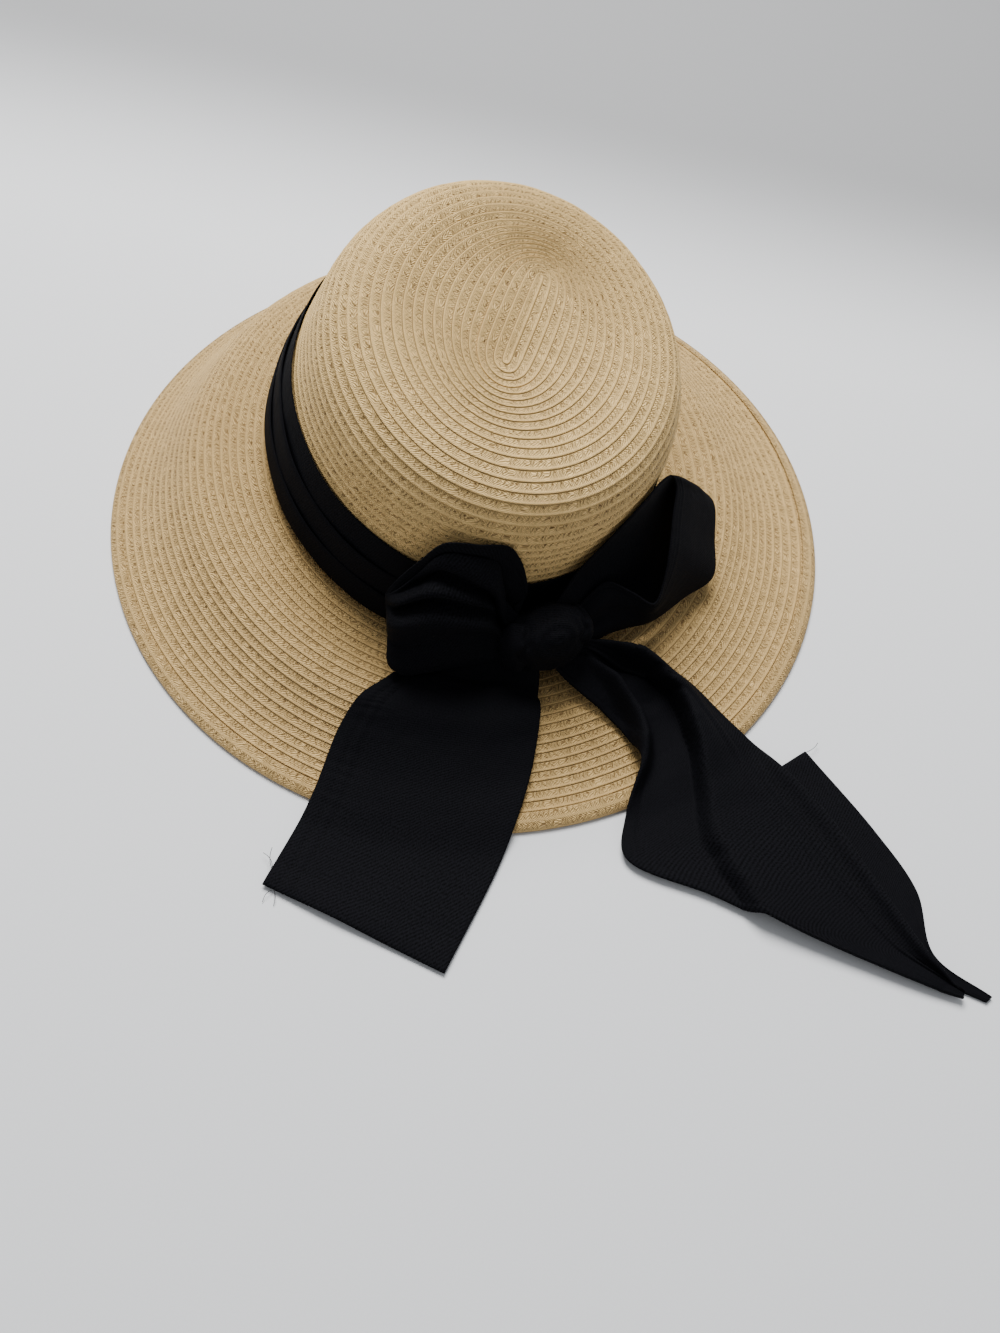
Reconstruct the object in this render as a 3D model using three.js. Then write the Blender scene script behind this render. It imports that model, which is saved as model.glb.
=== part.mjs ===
// Straw sun hat with a black sash tied in a bow, standing crown up on its brim edge.
// Millimetres, +Z up, front of the hat towards -Y.
// The crown leans towards the bow; the edge of the brim is level.
import * as THREE from "three";

// ---- driving dimensions ----
const STRAW = 2.2; // thickness of the sewn braid
const GAP = 0.35; // clearance between neighbouring pieces
const AROUND = 72; // segments round the hat

const HEAD_WIDTH = 182; // outside of the crown at the head line, side to side
const HEAD_LENGTH = 202; // and front to back
const HEAD_HEIGHT = 39; // middle of the head line above the surface below
const HEAD_CENTRE = new THREE.Vector2(-23, 3);
const CROWN_HEIGHT = 90; // head line to the rim of the crown top
const LEAN_RIGHT = THREE.MathUtils.degToRad(14.0);
const LEAN_FRONT = THREE.MathUtils.degToRad(8.5);

const EDGE_WIDTH = 360; // brim edge, side to side
const EDGE_LENGTH = 380; // and front to back
const EDGE_CENTRE = new THREE.Vector2(-9, 2);
const EDGE_ROW = 5.6; // the doubled last row, level underneath

const SASH_THICK = 1.6; // the sash is two layers of cloth
const BAND_HEIGHT = 41; // the sash folded lengthwise round the crown
const SWEATBAND_HEIGHT = 28;
const SWEATBAND_THICK = 1.0;

const STRAW_COLOUR = 0xcbb083;
const STRAW_SHADE = 0xbfa275;
const CLOTH_BLACK = 0x101114;
const THREAD_PALE = 0xb9b2a4;

// ---- small helpers ----

function finish(name, geometry, colour, roughness) {
  geometry.computeVertexNormals();
  const material = new THREE.MeshStandardMaterial({ color: colour, roughness, metalness: 0 });
  const mesh = new THREE.Mesh(geometry, material);
  mesh.name = name;
  return mesh;
}

// Moves every vertex of a geometry to place(x, y, z).
function reshape(geometry, place) {
  const position = geometry.getAttribute("position");
  for (let i = 0; i < position.count; i += 1) {
    const p = place(position.getX(i), position.getY(i), position.getZ(i));
    position.setXYZ(i, p.x, p.y, p.z);
  }
  position.needsUpdate = true;
  return geometry;
}

// A smooth curve through a list of [x, y, z].
function curve(points) {
  const knots = points.map((p) => new THREE.Vector3(...p));
  return new THREE.CatmullRomCurve3(knots, false, "centripetal");
}

// ---- the crown, shaped upright about its own middle ----
// Each station is [half width, half length, height above the head line].
const CROWN_LINES = curve([
  [0, 0, 84],
  [26, 37, 85.5],
  [46, 56, 88],
  [61, 72, CROWN_HEIGHT],
  [76, 86, 86.5],
  [84.5, 94, 74],
  [88, 96, 54],
  [90.5, 98.5, 28],
  [HEAD_WIDTH / 2, HEAD_LENGTH / 2, 0],
]);
const TOP_ENDS = 0.53; // along the crown line, where the top turns into the wall
const CORE_ENDS = 0.125; // and where the core of the top ends
const CORE_BACK = 17; // the core of the top lies this far behind the middle
const DIMPLE = 4; // soft dent in front of the core

function leaned(x, y, z) {
  const lift = z - x * Math.tan(LEAN_RIGHT) + y * Math.tan(LEAN_FRONT);
  return new THREE.Vector3(
    HEAD_CENTRE.x + x + z * Math.tan(LEAN_RIGHT),
    HEAD_CENTRE.y + y - z * 0.03,
    HEAD_HEIGHT + lift,
  );
}

function crownLine(t, angle) {
  const line = CROWN_LINES.getPointAt(THREE.MathUtils.clamp(t, 0, 1));
  const x = line.x * Math.cos(angle);
  const y = line.y * Math.sin(angle) + CORE_BACK * Math.max(0, 1 - line.y / 80);
  const near = Math.hypot(x - 2, (y + 8) * 0.8);
  const dent = DIMPLE * Math.exp(-((near / 16) ** 2));
  return leaned(x, y, line.z - dent);
}

// ---- the brim: ovals that widen from the head line to the level edge ----
// Each station is [how far out, height, share of the crown's lean it keeps].
const BRIM_LINES = curve([
  [0, HEAD_HEIGHT, 1.0],
  [18, 36.5, 0.93],
  [33, 36, 0.78],
  [46, 31.5, 0.62],
  [57, 22, 0.46],
  [72, 11, 0.2],
  [(EDGE_WIDTH - HEAD_WIDTH) / 2, 4.0, 0.0],
]);
const BRIM_OUT = (EDGE_WIDTH - HEAD_WIDTH) / 2;

// The point of the oval that lies out mm beyond the head line, at height z.
function ovalPoint(out, angle, z) {
  const centre = HEAD_CENTRE.clone().lerp(EDGE_CENTRE, Math.min(out / BRIM_OUT, 1));
  const x = centre.x + (HEAD_WIDTH / 2 + out) * Math.cos(angle);
  const y = centre.y + (HEAD_LENGTH / 2 + out) * Math.sin(angle);
  return new THREE.Vector3(x, y, z);
}

function brimHeight(station, angle) {
  const x = (HEAD_WIDTH / 2) * Math.cos(angle);
  const y = (HEAD_LENGTH / 2) * Math.sin(angle);
  const tilt = y * Math.tan(LEAN_FRONT) - x * Math.tan(LEAN_RIGHT);
  return station.y + station.z * tilt;
}

function brimLine(t, angle) {
  const station = BRIM_LINES.getPointAt(THREE.MathUtils.clamp(t, 0, 1));
  return ovalPoint(station.x, angle, brimHeight(station, angle));
}

// The place along a curve, 0 to 1, where one coordinate passes a value; it must run one way.
function placeWhere(line, axis, value) {
  let low = 0;
  let high = 1;
  const rising = line.getPointAt(1)[axis] > line.getPointAt(0)[axis];
  for (let i = 0; i < 24; i += 1) {
    const middle = (low + high) / 2;
    if (line.getPointAt(middle)[axis] < value === rising) low = middle;
    else high = middle;
  }
  return low;
}

// The outward normal of a surface of rings, from its neighbours.
function normalOf(line, t, angle) {
  const d = 0.004;
  const along = line(Math.min(t + d, 1), angle).sub(line(Math.max(t - d, 0.0005), angle));
  const round = line(Math.max(t, 0.01), angle + d).sub(line(Math.max(t, 0.01), angle - d));
  return along.cross(round).normalize();
}

// A closed ring of sheet that follows rings t0 to t1, between two distances off the surface.
function ringShell(line, t0, t1, rows, outer, inner) {
  const at = (i) => t0 + ((t1 - t0) * i) / rows;
  const profile = [];
  for (let i = 0; i <= rows; i += 1) {
    profile.push(new THREE.Vector2(at(i), inner));
  }
  for (let i = rows; i >= 0; i -= 1) {
    profile.push(new THREE.Vector2(at(i), outer));
  }
  profile.push(profile[0].clone());
  return lathed(line, profile);
}

// Turns a profile of (t, distance off the surface) round the hat.
function lathed(line, profile) {
  const onAxis = profile[0].x === 0;
  const shift = onAxis ? 0 : 1;
  const points = profile.map((p) => new THREE.Vector2(p.x + shift, p.y));
  const geometry = new THREE.LatheGeometry(points, AROUND);
  return reshape(geometry, (x, y, z) => {
    const t = Math.hypot(x, z) - shift;
    const angle = Math.atan2(x, z);
    return line(t, angle).addScaledVector(normalOf(line, t, angle), y);
  });
}

// A closed ring whose profile is given as [distance beyond the head line, height].
function levelRing(profile) {
  const points = [...profile, profile[0]].map(([out, z]) => new THREE.Vector2(out + 1, z));
  const geometry = new THREE.LatheGeometry(points, AROUND);
  return reshape(geometry, (x, y, z) => ovalPoint(Math.hypot(x, z) - 1, Math.atan2(x, z), y));
}

// A closed ring on the crown wall; the profile is [height above the head line, distance off the wall].
function wallRing(profile) {
  const points = [...profile, profile[0]].map(([h, off]) => {
    return new THREE.Vector2(crownPlace(h), off);
  });
  return lathed(crownLine, points);
}

// Where along the crown line the wall stands h above the head line.
function crownPlace(h) {
  let low = TOP_ENDS;
  let high = 1;
  for (let i = 0; i < 24; i += 1) {
    const middle = (low + high) / 2;
    if (CROWN_LINES.getPointAt(middle).z > h) low = middle;
    else high = middle;
  }
  return low;
}

// ---- straw body ----

function crownCore() {
  const t = CORE_ENDS - 0.004;
  const low = [0, 0.5, 1].map((i) => new THREE.Vector2(i * t, -STRAW));
  const high = [1, 0.7, 0.35, 0].map((i) => new THREE.Vector2(i * t, 0.5));
  return finish("crown_core", lathed(crownLine, [...low, ...high]), STRAW_COLOUR, 0.75);
}

function crownTop() {
  const geometry = ringShell(crownLine, CORE_ENDS, TOP_ENDS, 6, 0, -STRAW);
  return finish("crown_top", geometry, STRAW_COLOUR, 0.75);
}

function crownWall() {
  const geometry = ringShell(crownLine, TOP_ENDS + 0.003, 1, 5, 0, -STRAW);
  return finish("crown_wall", geometry, STRAW_SHADE, 0.78);
}

function brim() {
  const ends = placeWhere(BRIM_LINES, "x", BRIM_OUT - EDGE_ROW / 2 - GAP);
  const geometry = ringShell(brimLine, 0.004, ends, 10, 0, -STRAW);
  return finish("brim", geometry, STRAW_COLOUR, 0.75);
}

function brimEdge() {
  const inner = BRIM_OUT - EDGE_ROW / 2;
  const outer = BRIM_OUT + EDGE_ROW / 2;
  const profile = [
    [inner, 5.0],
    [inner, 0],
    [outer - 0.8, 0],
    [outer, 1.4],
    [outer - 0.6, 3.2],
    [outer - 2.6, 4.2],
  ];
  return finish("brim_edge", levelRing(profile), STRAW_SHADE, 0.78);
}

function sweatband() {
  const face = -STRAW - GAP;
  const back = face - SWEATBAND_THICK;
  const profile = [
    [SWEATBAND_HEIGHT, back],
    [SWEATBAND_HEIGHT / 2, back],
    [1, back],
    [1, face],
    [SWEATBAND_HEIGHT / 2, face],
    [SWEATBAND_HEIGHT, face],
  ];
  return finish("sweatband", wallRing(profile), CLOTH_BLACK, 0.9);
}

// ---- the sash ----

// The sash folded lengthwise: three laps, each showing below the one above.
function hatBand() {
  const low = 2.6;
  const high = low + BAND_HEIGHT;
  const profile = [
    [high, 0.5],
    [low + 20, 0.5],
    [low, 0.5],
    [low, 3.2],
    [low + 13, 3.6],
    [low + 14, 2.7],
    [low + 26, 3.1],
    [low + 27, 2.2],
    [high, 2.3],
  ];
  return finish("hat_band", wallRing(profile), CLOTH_BLACK, 0.85);
}

// Height of the straw, or of the surface the hat stands on, under a point seen from above.
function groundUnder(x, y) {
  let low = 0;
  let high = BRIM_OUT + 40;
  const angleAt = (out) => {
    const centre = HEAD_CENTRE.clone().lerp(EDGE_CENTRE, Math.min(out / BRIM_OUT, 1));
    return [(x - centre.x) / (HEAD_WIDTH / 2 + out), (y - centre.y) / (HEAD_LENGTH / 2 + out)];
  };
  for (let i = 0; i < 22; i += 1) {
    const middle = (low + high) / 2;
    if (Math.hypot(...angleAt(middle)) > 1) low = middle;
    else high = middle;
  }
  const [c, s] = angleAt(low);
  const beyond = low - (BRIM_OUT + EDGE_ROW / 2);
  if (low < BRIM_OUT) {
    const station = BRIM_LINES.getPointAt(placeWhere(BRIM_LINES, "x", low));
    return brimHeight(station, Math.atan2(s, c));
  }
  return 4.3 * THREE.MathUtils.smoothstep(-beyond, -9, -0.8);
}

// A strip of sash between two edges, each a list of [x, y, lift]; it lies lift above what is under it.
function layOut(name, left, right, along, across, base) {
  const leftEdge = curve(left);
  const rightEdge = curve(right);
  const box = new THREE.BoxGeometry(1, 1, 1, along, across, 1);
  const geometry = reshape(box, (u, v, w) => {
    const a = leftEdge.getPoint(u + 0.5);
    const b = rightEdge.getPoint(u + 0.5);
    const p = a.lerp(b, v + 0.5);
    const under = base === undefined ? groundUnder(p.x, p.y) : base;
    return new THREE.Vector3(p.x, p.y, under + p.z + (w + 0.5) * SASH_THICK);
  });
  return finish(name, geometry, CLOTH_BLACK, 0.85);
}

// A strip of sash on its edge, between an upper and a lower edge curve.
function standUp(name, upper, lower, along, across) {
  const top = curve(upper);
  const foot = curve(lower);
  const middle = (u, v) => {
    const a = top.getPoint(u);
    const b = foot.getPoint(u);
    return a.lerp(b, v);
  };
  const normal = (u, v) => {
    const d = 0.01;
    const ahead = middle(Math.min(u + d, 1), v).sub(middle(Math.max(u - d, 0), v));
    const down = middle(u, 1).sub(middle(u, 0));
    return down.cross(ahead).normalize();
  };
  const box = new THREE.BoxGeometry(1, 1, 1, along, across, 1);
  const geometry = reshape(box, (x, y, z) => {
    const u = x + 0.5;
    const v = 0.5 - y;
    return middle(u, v).addScaledVector(normal(u, v), z * SASH_THICK);
  });
  return finish(name, geometry, CLOTH_BLACK, 0.85);
}

// Loops start and end at the knot; the edges run out along the crown and back outside.
function loopLeft() {
  const upper = [
    [32, -98, 60],
    [30, -100, 84],
    [18, -104, 92],
    [2, -107.5, 90],
    [-14, -110, 74],
    [-24, -114, 60],
    [-12, -122, 72],
    [6, -122, 80],
    [24, -116, 74],
    [33, -110, 50],
  ];
  const lower = [
    [26, -101, 36],
    [20, -105, 31],
    [8, -109, 31],
    [-4, -111, 32],
    [-14, -114, 33],
    [-21, -120, 36],
    [-12, -131, 34],
    [2, -132, 33],
    [18, -126, 32],
    [30, -114, 34],
  ];
  return standUp("bow_loop_left", upper, lower, 32, 5);
}

function loopRight() {
  const upper = [
    [67, -76, 54],
    [74, -66, 68],
    [82, -50, 80],
    [89, -30, 84],
    [93, -10, 78],
    [100, 1, 68],
    [106, -8, 60],
    [101, -28, 52],
    [97, -46, 46],
    [88, -62, 42],
    [76, -79, 42],
  ];
  const lower = [
    [66, -77, 32],
    [72, -68, 22],
    [82, -54, 21],
    [90, -32, 22],
    [97, -10, 24],
    [111, -1, 27],
    [120, -13, 27],
    [114, -30, 24],
    [104, -46, 22],
    [93, -62, 23],
    [79, -79, 28],
  ];
  return standUp("bow_loop_right", upper, lower, 36, 5);
}

// The wrap of sash round the middle of the bow: a squat, rounded barrel with a waist of creases.
function knot() {
  const ball = new THREE.SphereGeometry(1, 28, 16);
  const turn = new THREE.Matrix4().makeRotationZ(THREE.MathUtils.degToRad(40));
  const geometry = reshape(ball, (x, y, z) => {
    const round = (v) => Math.sign(v) * Math.abs(v) ** 0.8;
    const p = new THREE.Vector3(21 * round(x), 11 * round(y), 16.5 * round(z));
    p.y -= 0.12 * (p.z - 4);
    return p.applyMatrix4(turn).add(new THREE.Vector3(53, -93, 38));
  });
  return finish("bow_knot", geometry, CLOTH_BLACK, 0.85);
}

function tailLeftRoot() {
  const left = [[24, -112, 1.2], [4, -118, 1.5], [-10, -127, 1.5], [-14, -133, 1.2]];
  const right = [[50, -109, 1.2], [53, -111, 1.2], [55, -113, 1.2], [57, -116, 1.2]];
  return layOut("tail_left_root", left, right, 8, 6);
}

function tailLeft() {
  const left = [[-14.2, -133.6, 1.2], [-22, -146, 1.2], [-26, -160, 1.2], [-27, -190, 0.6], [-32, -236, 0.5]];
  const right = [[57.1, -116.6, 1.2], [61, -134, 1.2], [63, -155, 1.2], [62, -190, 0.6], [54, -249, 0.5]];
  return layOut("tail_left", left, right, 22, 8);
}

function tailRightRoot() {
  const left = [[66, -104, 1.2], [73, -106, 1.2], [80, -106, 1.2], [84, -106, 1.2]];
  const right = [[80, -92, 1.2], [90, -84, 1.2], [98, -78, 1.2], [106, -74, 1.2]];
  return layOut("tail_right_root", left, right, 5, 4);
}

function tailRight() {
  const left = [
    [84.6, -106.4, 1.2],
    [98, -112, 1.2],
    [108, -124, 1.2],
    [109, -150, 2.6],
    [114, -171, 2.6],
    [156, -176, 2.6],
    [196, -182, 2.6],
    [258, -187, 2.6],
    [270, -187, 2.6],
  ];
  const right = [
    [106.6, -74.4, 1.2],
    [124, -77, 1.2],
    [142, -86, 1.2],
    [171, -101, 2.6],
    [199, -121, 2.6],
    [229, -151, 2.6],
    [250, -172, 2.6],
    [262, -180, 2.6],
    [270, -184, 2.6],
  ];
  return layOut("tail_right", left, right, 30, 8);
}

// The end of the right tail, turned back under itself at the point.
function tailRightEnd() {
  const outer = [[184, -84, 0.4], [223, -117, 0.4], [245, -141, 0.4], [256, -170, 0.4], [283, -181, 0.4]];
  const inner = [[136, -146, 0.4], [170, -160, 0.4], [215, -172, 0.4], [250, -180, 0.4], [281, -184, 0.4]];
  return layOut("tail_right_end", inner, outer, 16, 6, 0);
}

// A pale stitch that holds the top of the band to the straw.
function bandTack() {
  const box = new THREE.BoxGeometry(2.6, 1.0, 1.0);
  const at = crownLine(crownPlace(BAND_HEIGHT - 3), -Math.PI / 2);
  box.translate(at.x, at.y - 3.4, at.z);
  return finish("band_tack", box, THREAD_PALE, 0.7);
}

const group = new THREE.Group();
group.name = "straw_sun_hat";
group.add(crownCore(), crownTop(), crownWall(), brim(), brimEdge(), sweatband());
group.add(hatBand(), bandTack(), knot(), loopLeft(), loopRight());
group.add(tailLeftRoot(), tailLeft(), tailRightRoot(), tailRight(), tailRightEnd());

// The origin is the middle of the part's footprint, on the surface it stands on.
const bounds = new THREE.Box3().setFromObject(group, true);
const middle = bounds.getCenter(new THREE.Vector3());
for (const mesh of group.children) mesh.position.set(-middle.x, -middle.y, -bounds.min.z);
export default group;
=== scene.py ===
"""Looks of the straw sun hat: sewn braid, black sash and bow, on a plain pale floor."""

import logging
import math
from dataclasses import dataclass, field
from enum import Enum
from typing import Callable, Sequence

import bpy
import numpy as np
from mathutils import Matrix, Vector


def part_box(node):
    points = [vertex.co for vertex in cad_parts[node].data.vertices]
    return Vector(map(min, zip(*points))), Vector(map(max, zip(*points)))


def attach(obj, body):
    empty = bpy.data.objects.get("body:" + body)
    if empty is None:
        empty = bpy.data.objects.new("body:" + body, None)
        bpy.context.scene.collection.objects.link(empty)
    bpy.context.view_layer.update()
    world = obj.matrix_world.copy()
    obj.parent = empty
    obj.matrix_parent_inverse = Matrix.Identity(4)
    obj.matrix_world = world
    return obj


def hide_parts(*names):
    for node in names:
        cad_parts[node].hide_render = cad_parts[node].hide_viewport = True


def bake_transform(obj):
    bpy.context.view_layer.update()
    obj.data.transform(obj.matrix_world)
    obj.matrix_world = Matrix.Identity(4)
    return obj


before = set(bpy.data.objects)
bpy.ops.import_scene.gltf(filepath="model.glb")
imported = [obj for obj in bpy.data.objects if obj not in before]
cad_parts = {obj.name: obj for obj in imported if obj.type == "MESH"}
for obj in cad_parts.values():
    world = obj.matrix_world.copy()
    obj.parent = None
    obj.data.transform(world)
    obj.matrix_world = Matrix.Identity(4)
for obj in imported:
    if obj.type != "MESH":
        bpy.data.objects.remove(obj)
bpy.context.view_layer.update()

Array = np.ndarray
Material = bpy.types.Material
Node = bpy.types.Node
NodeTree = bpy.types.NodeTree
Object = bpy.types.Object
Socket = bpy.types.NodeSocket
Triple = tuple[float, float, float]

LOG = logging.getLogger("sun_hat")
MM = 0.001
TAU = 2.0 * math.pi

# ---- form of the hat, in millimetres, in the hat's own frame ----
HEAD = (91.0, 101.0)  # half width and half length at the head line
HEAD_CENTRE = (-23.0, 3.0)
EDGE_CENTRE = (-9.0, 2.0)
HEAD_HEIGHT = 39.0  # middle of the head line above the floor
LEAN_RIGHT = math.tan(math.radians(14.0))
LEAN_FRONT = math.tan(math.radians(8.5))
BRIM_OUT = 89.0  # from the head line out to the edge row
EDGE_ROW = 5.6  # width of the doubled last row
EDGE_GAP = 0.35  # between the brim and its edge row
STRAW = 2.2  # thickness of the sewn braid
CORE_BACK = 17.0  # how far the braid core sits behind the middle of the crown
CORE_LONG = 24.0  # how much longer than wide the first rows are, each way
RIM_WIDE = 61.0  # half width of the crown at the rim of its top
CORE_FADE = 80.0  # half length of the row that is back on the middle
RIM_LONG = 11.0  # how much longer than wide the rim is, each way
CORE_SQUARE = 3.2  # how straight the sides of the first rows are
DIMPLE = 4.0  # depth of the dent in the crown top
TAPE_INSIDE = 3.05  # from the outside of the straw in to the middle of the sweatband
ROW = 4.65  # width of one row of braid
CORE_ROWS = 4  # rows in the first piece of the crown
TOP_ROWS = 16  # rows up to the rim of the crown
STITCH = 5.6  # spacing of the holes along a row
SHEET = 1.6  # two layers of cloth

CROWN_STATIONS = [
    (0, 0, 84), (26, 37, 85.5), (46, 56, 88), (61, 72, 90), (76, 86, 86.5),
    (84.5, 94, 74), (88, 96, 54), (90.5, 98.5, 28), (91, 101, 0),
]
BRIM_STATIONS = [
    (0, 39, 1.0), (18, 36.5, 0.93), (33, 36, 0.78), (46, 31.5, 0.62),
    (57, 22, 0.46), (72, 11, 0.2), (89, 4, 0.0),
]


def hat_shift() -> Array:
    """Returns the step from the hat's own frame to the row frame, in millimetres."""
    low, high = (np.array(corner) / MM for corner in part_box("brim_edge"))
    middle = (low + high) / 2
    return np.array([middle[0] - EDGE_CENTRE[0], middle[1] - EDGE_CENTRE[1], 0.0])


SHIFT = hat_shift()


def smooth(low: float, high: float, value: Array) -> Array:
    """Returns the smooth step of value between low and high."""
    t = np.clip((np.asarray(value, float) - low) / (high - low), 0.0, 1.0)
    return t * t * (3.0 - 2.0 * t)


def bump(value: Array, centre: float, width: float) -> Array:
    """Returns a soft bell of height 1 at centre."""
    return np.exp(-(((np.asarray(value, float) - centre) / width) ** 2))


class Spline:
    """A centripetal Catmull-Rom curve through points, read by parameter or by length."""

    def __init__(self, points: Sequence[Sequence[float]]) -> None:
        """Args: points: the knots of the curve."""
        knots = np.array(points, float)
        first = 2 * knots[0] - knots[1]
        last = 2 * knots[-1] - knots[-2]
        self.knots = np.vstack([first, knots, last])
        self.spans = len(knots) - 1
        self.table = np.linspace(0.0, 1.0, 601)
        steps = np.linalg.norm(np.diff(self.at(self.table), axis=0), axis=1)
        self.lengths = np.concatenate([[0.0], np.cumsum(steps)])

    @property
    def length(self) -> float:
        """Returns the length of the curve."""
        return float(self.lengths[-1])

    def at(self, u: Array) -> Array:
        """Reads the curve by knot parameter.

        Args:
            u: values from 0 to 1.
        Returns:
            one point for each value.
        """
        u = np.clip(np.asarray(u, float), 0.0, 1.0)
        place = u * self.spans
        span = np.minimum(place.astype(int), self.spans - 1)
        w = (place - span)[..., None]
        p0, p1, p2, p3 = (self.knots[span + i] for i in range(4))

        def gap(a: Array, b: Array) -> Array:
            """Returns the centripetal spacing of two knots."""
            return np.maximum(np.sqrt(np.linalg.norm(a - b, axis=-1, keepdims=True)), 1e-4)

        d0, d1, d2 = gap(p0, p1), gap(p1, p2), gap(p2, p3)
        t1 = ((p1 - p0) / d0 - (p2 - p0) / (d0 + d1) + (p2 - p1) / d1) * d1
        t2 = ((p2 - p1) / d1 - (p3 - p1) / (d1 + d2) + (p3 - p2) / d2) * d1
        c2 = -3 * p1 + 3 * p2 - 2 * t1 - t2
        c3 = 2 * p1 - 2 * p2 + t1 + t2
        return p1 + t1 * w + c2 * w**2 + c3 * w**3

    def along(self, t: Array) -> Array:
        """Returns the points at shares t of the curve's length."""
        wanted = np.clip(np.asarray(t, float), 0.0, 1.0) * self.length
        return self.at(np.interp(wanted, self.lengths, self.table))


class HatForm:
    """The smooth surfaces of the hat that the braid and the sash follow."""

    def __init__(self) -> None:
        """Builds the crown and brim lines and their row tables."""
        self.crown = Spline(CROWN_STATIONS)
        self.brim = Spline(BRIM_STATIONS)
        self.table = np.linspace(0.0, 1.0, 801)
        line = self.crown.along(self.table)
        wide = np.where(line[:, 0] < RIM_WIDE, line[:, 0], (line[:, 0] + line[:, 1] - RIM_LONG) / 2)
        steps = np.hypot(np.diff(wide), np.diff(line[:, 2]))
        self.crown_rows = np.concatenate([[0.0], np.cumsum(steps)]) / ROW + 0.5
        out = self.brim.along(self.table)
        steps = np.hypot(np.diff(out[:, 0]), np.diff(out[:, 1]))
        self.brim_rows = np.concatenate([[0.0], np.cumsum(steps)]) / ROW

    @staticmethod
    def lean(x: Array, y: Array, z: Array) -> Array:
        """Returns crown points, given upright about the crown's middle, in the hat frame."""
        lift = z - x * LEAN_RIGHT + y * LEAN_FRONT
        return np.stack(
            [HEAD_CENTRE[0] + x + z * LEAN_RIGHT, HEAD_CENTRE[1] + y - z * 0.03, HEAD_HEIGHT + lift],
            axis=-1,
        )

    @staticmethod
    def dent(x: Array, y: Array) -> Array:
        """Returns the depth of the soft dent in the crown top."""
        return DIMPLE * np.exp(-((np.hypot(x - 2, (y + 8) * 0.8) / 16) ** 2))

    def crown_at(self, t: Array, angle: Array) -> Array:
        """Returns the crown's surface at share t of its line and an angle round it."""
        line = self.crown.along(t)
        x = line[..., 0] * np.cos(angle)
        y = line[..., 1] * np.sin(angle) + CORE_BACK * np.maximum(0.0, 1 - line[..., 1] / CORE_FADE)
        return self.lean(x, y, line[..., 2] - self.dent(x, y))

    def top_height(self, x: Array, y: Array) -> Array:
        """Returns the height of the upright crown top over (x, y)."""
        low = np.zeros_like(x)
        high = np.full_like(x, 0.6)
        for _ in range(18):
            middle = (low + high) / 2
            line = self.crown.along(middle)
            back = CORE_BACK * np.maximum(0.0, 1 - line[..., 1] / CORE_FADE)
            wide = np.maximum(line[..., 0], 1e-3)
            long = np.maximum(line[..., 1], 1e-3)
            outside = (x / wide) ** 2 + ((y - back) / long) ** 2 > 1
            low = np.where(outside, middle, low)
            high = np.where(outside, high, middle)
        return self.crown.along(low)[..., 2] - self.dent(x, y)

    def crown_row(self, row: Array, angle: Array) -> Array:
        """Returns points on the crown by braid row and angle.

        The first rows are long ovals round a straight core, and turn into the crown's own oval.
        """
        t = np.interp(row, self.crown_rows, self.table)
        plain = self.crown_at(t, angle)
        line = self.crown.along(t)
        merge = smooth(0.5, 12.0, row)
        extra = CORE_LONG + (RIM_LONG - CORE_LONG) * merge
        wide = line[..., 0]
        sine = np.sin(angle)
        straight = np.tanh(CORE_SQUARE * sine) / math.tanh(CORE_SQUARE)
        reach = straight + (sine - straight) * smooth(0.5, 10.0, row)
        back = CORE_BACK * np.maximum(0.0, 1 - (wide + RIM_LONG) / CORE_FADE)
        x = wide * np.cos(angle)
        y = back + wide * sine + extra * reach
        own = self.lean(x, y, self.top_height(x, y))
        blend = smooth(11.5, 13.5, row)[..., None]
        return own + (plain - own) * blend

    def oval(self, out: Array, angle: Array, z: Array) -> Array:
        """Returns points out millimetres beyond the head line, at height z."""
        share = np.minimum(out / BRIM_OUT, 1.0)
        x = HEAD_CENTRE[0] + (EDGE_CENTRE[0] - HEAD_CENTRE[0]) * share + (HEAD[0] + out) * np.cos(angle)
        y = HEAD_CENTRE[1] + (EDGE_CENTRE[1] - HEAD_CENTRE[1]) * share + (HEAD[1] + out) * np.sin(angle)
        return np.stack([x, y, z + 0 * x], axis=-1)

    def brim_height(self, out: Array, angle: Array) -> Array:
        """Returns the height of the brim at a distance out and an angle."""
        line = self.brim.along(self.table)
        height = np.interp(out, line[:, 0], line[:, 1])
        share = np.interp(out, line[:, 0], line[:, 2])
        tilt = HEAD[1] * np.sin(angle) * LEAN_FRONT - HEAD[0] * np.cos(angle) * LEAN_RIGHT
        return height + share * tilt

    def brim_row(self, row: Array, angle: Array) -> Array:
        """Returns points on the brim by braid row and angle."""
        t = np.interp(row, self.brim_rows, self.table)
        out = self.brim.along(t)[..., 0]
        return self.oval(out, angle, self.brim_height(out, angle))

    def polar(self, x: Array, y: Array) -> tuple[Array, Array]:
        """Returns the distance out from the head line and the angle of (x, y)."""
        x, y = np.asarray(x, float), np.asarray(y, float)
        low = np.zeros_like(x)
        high = np.full_like(x, BRIM_OUT + 40.0)

        def inside(out: Array) -> tuple[Array, Array]:
            """Returns the oval coordinates of (x, y) at a distance out."""
            share = np.minimum(out / BRIM_OUT, 1.0)
            cx = HEAD_CENTRE[0] + (EDGE_CENTRE[0] - HEAD_CENTRE[0]) * share
            cy = HEAD_CENTRE[1] + (EDGE_CENTRE[1] - HEAD_CENTRE[1]) * share
            return (x - cx) / (HEAD[0] + out), (y - cy) / (HEAD[1] + out)

        for _ in range(24):
            middle = (low + high) / 2
            far = np.hypot(*inside(middle)) > 1
            low = np.where(far, middle, low)
            high = np.where(far, high, middle)
        c, s = inside(low)
        return low, np.arctan2(s, c)

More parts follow.
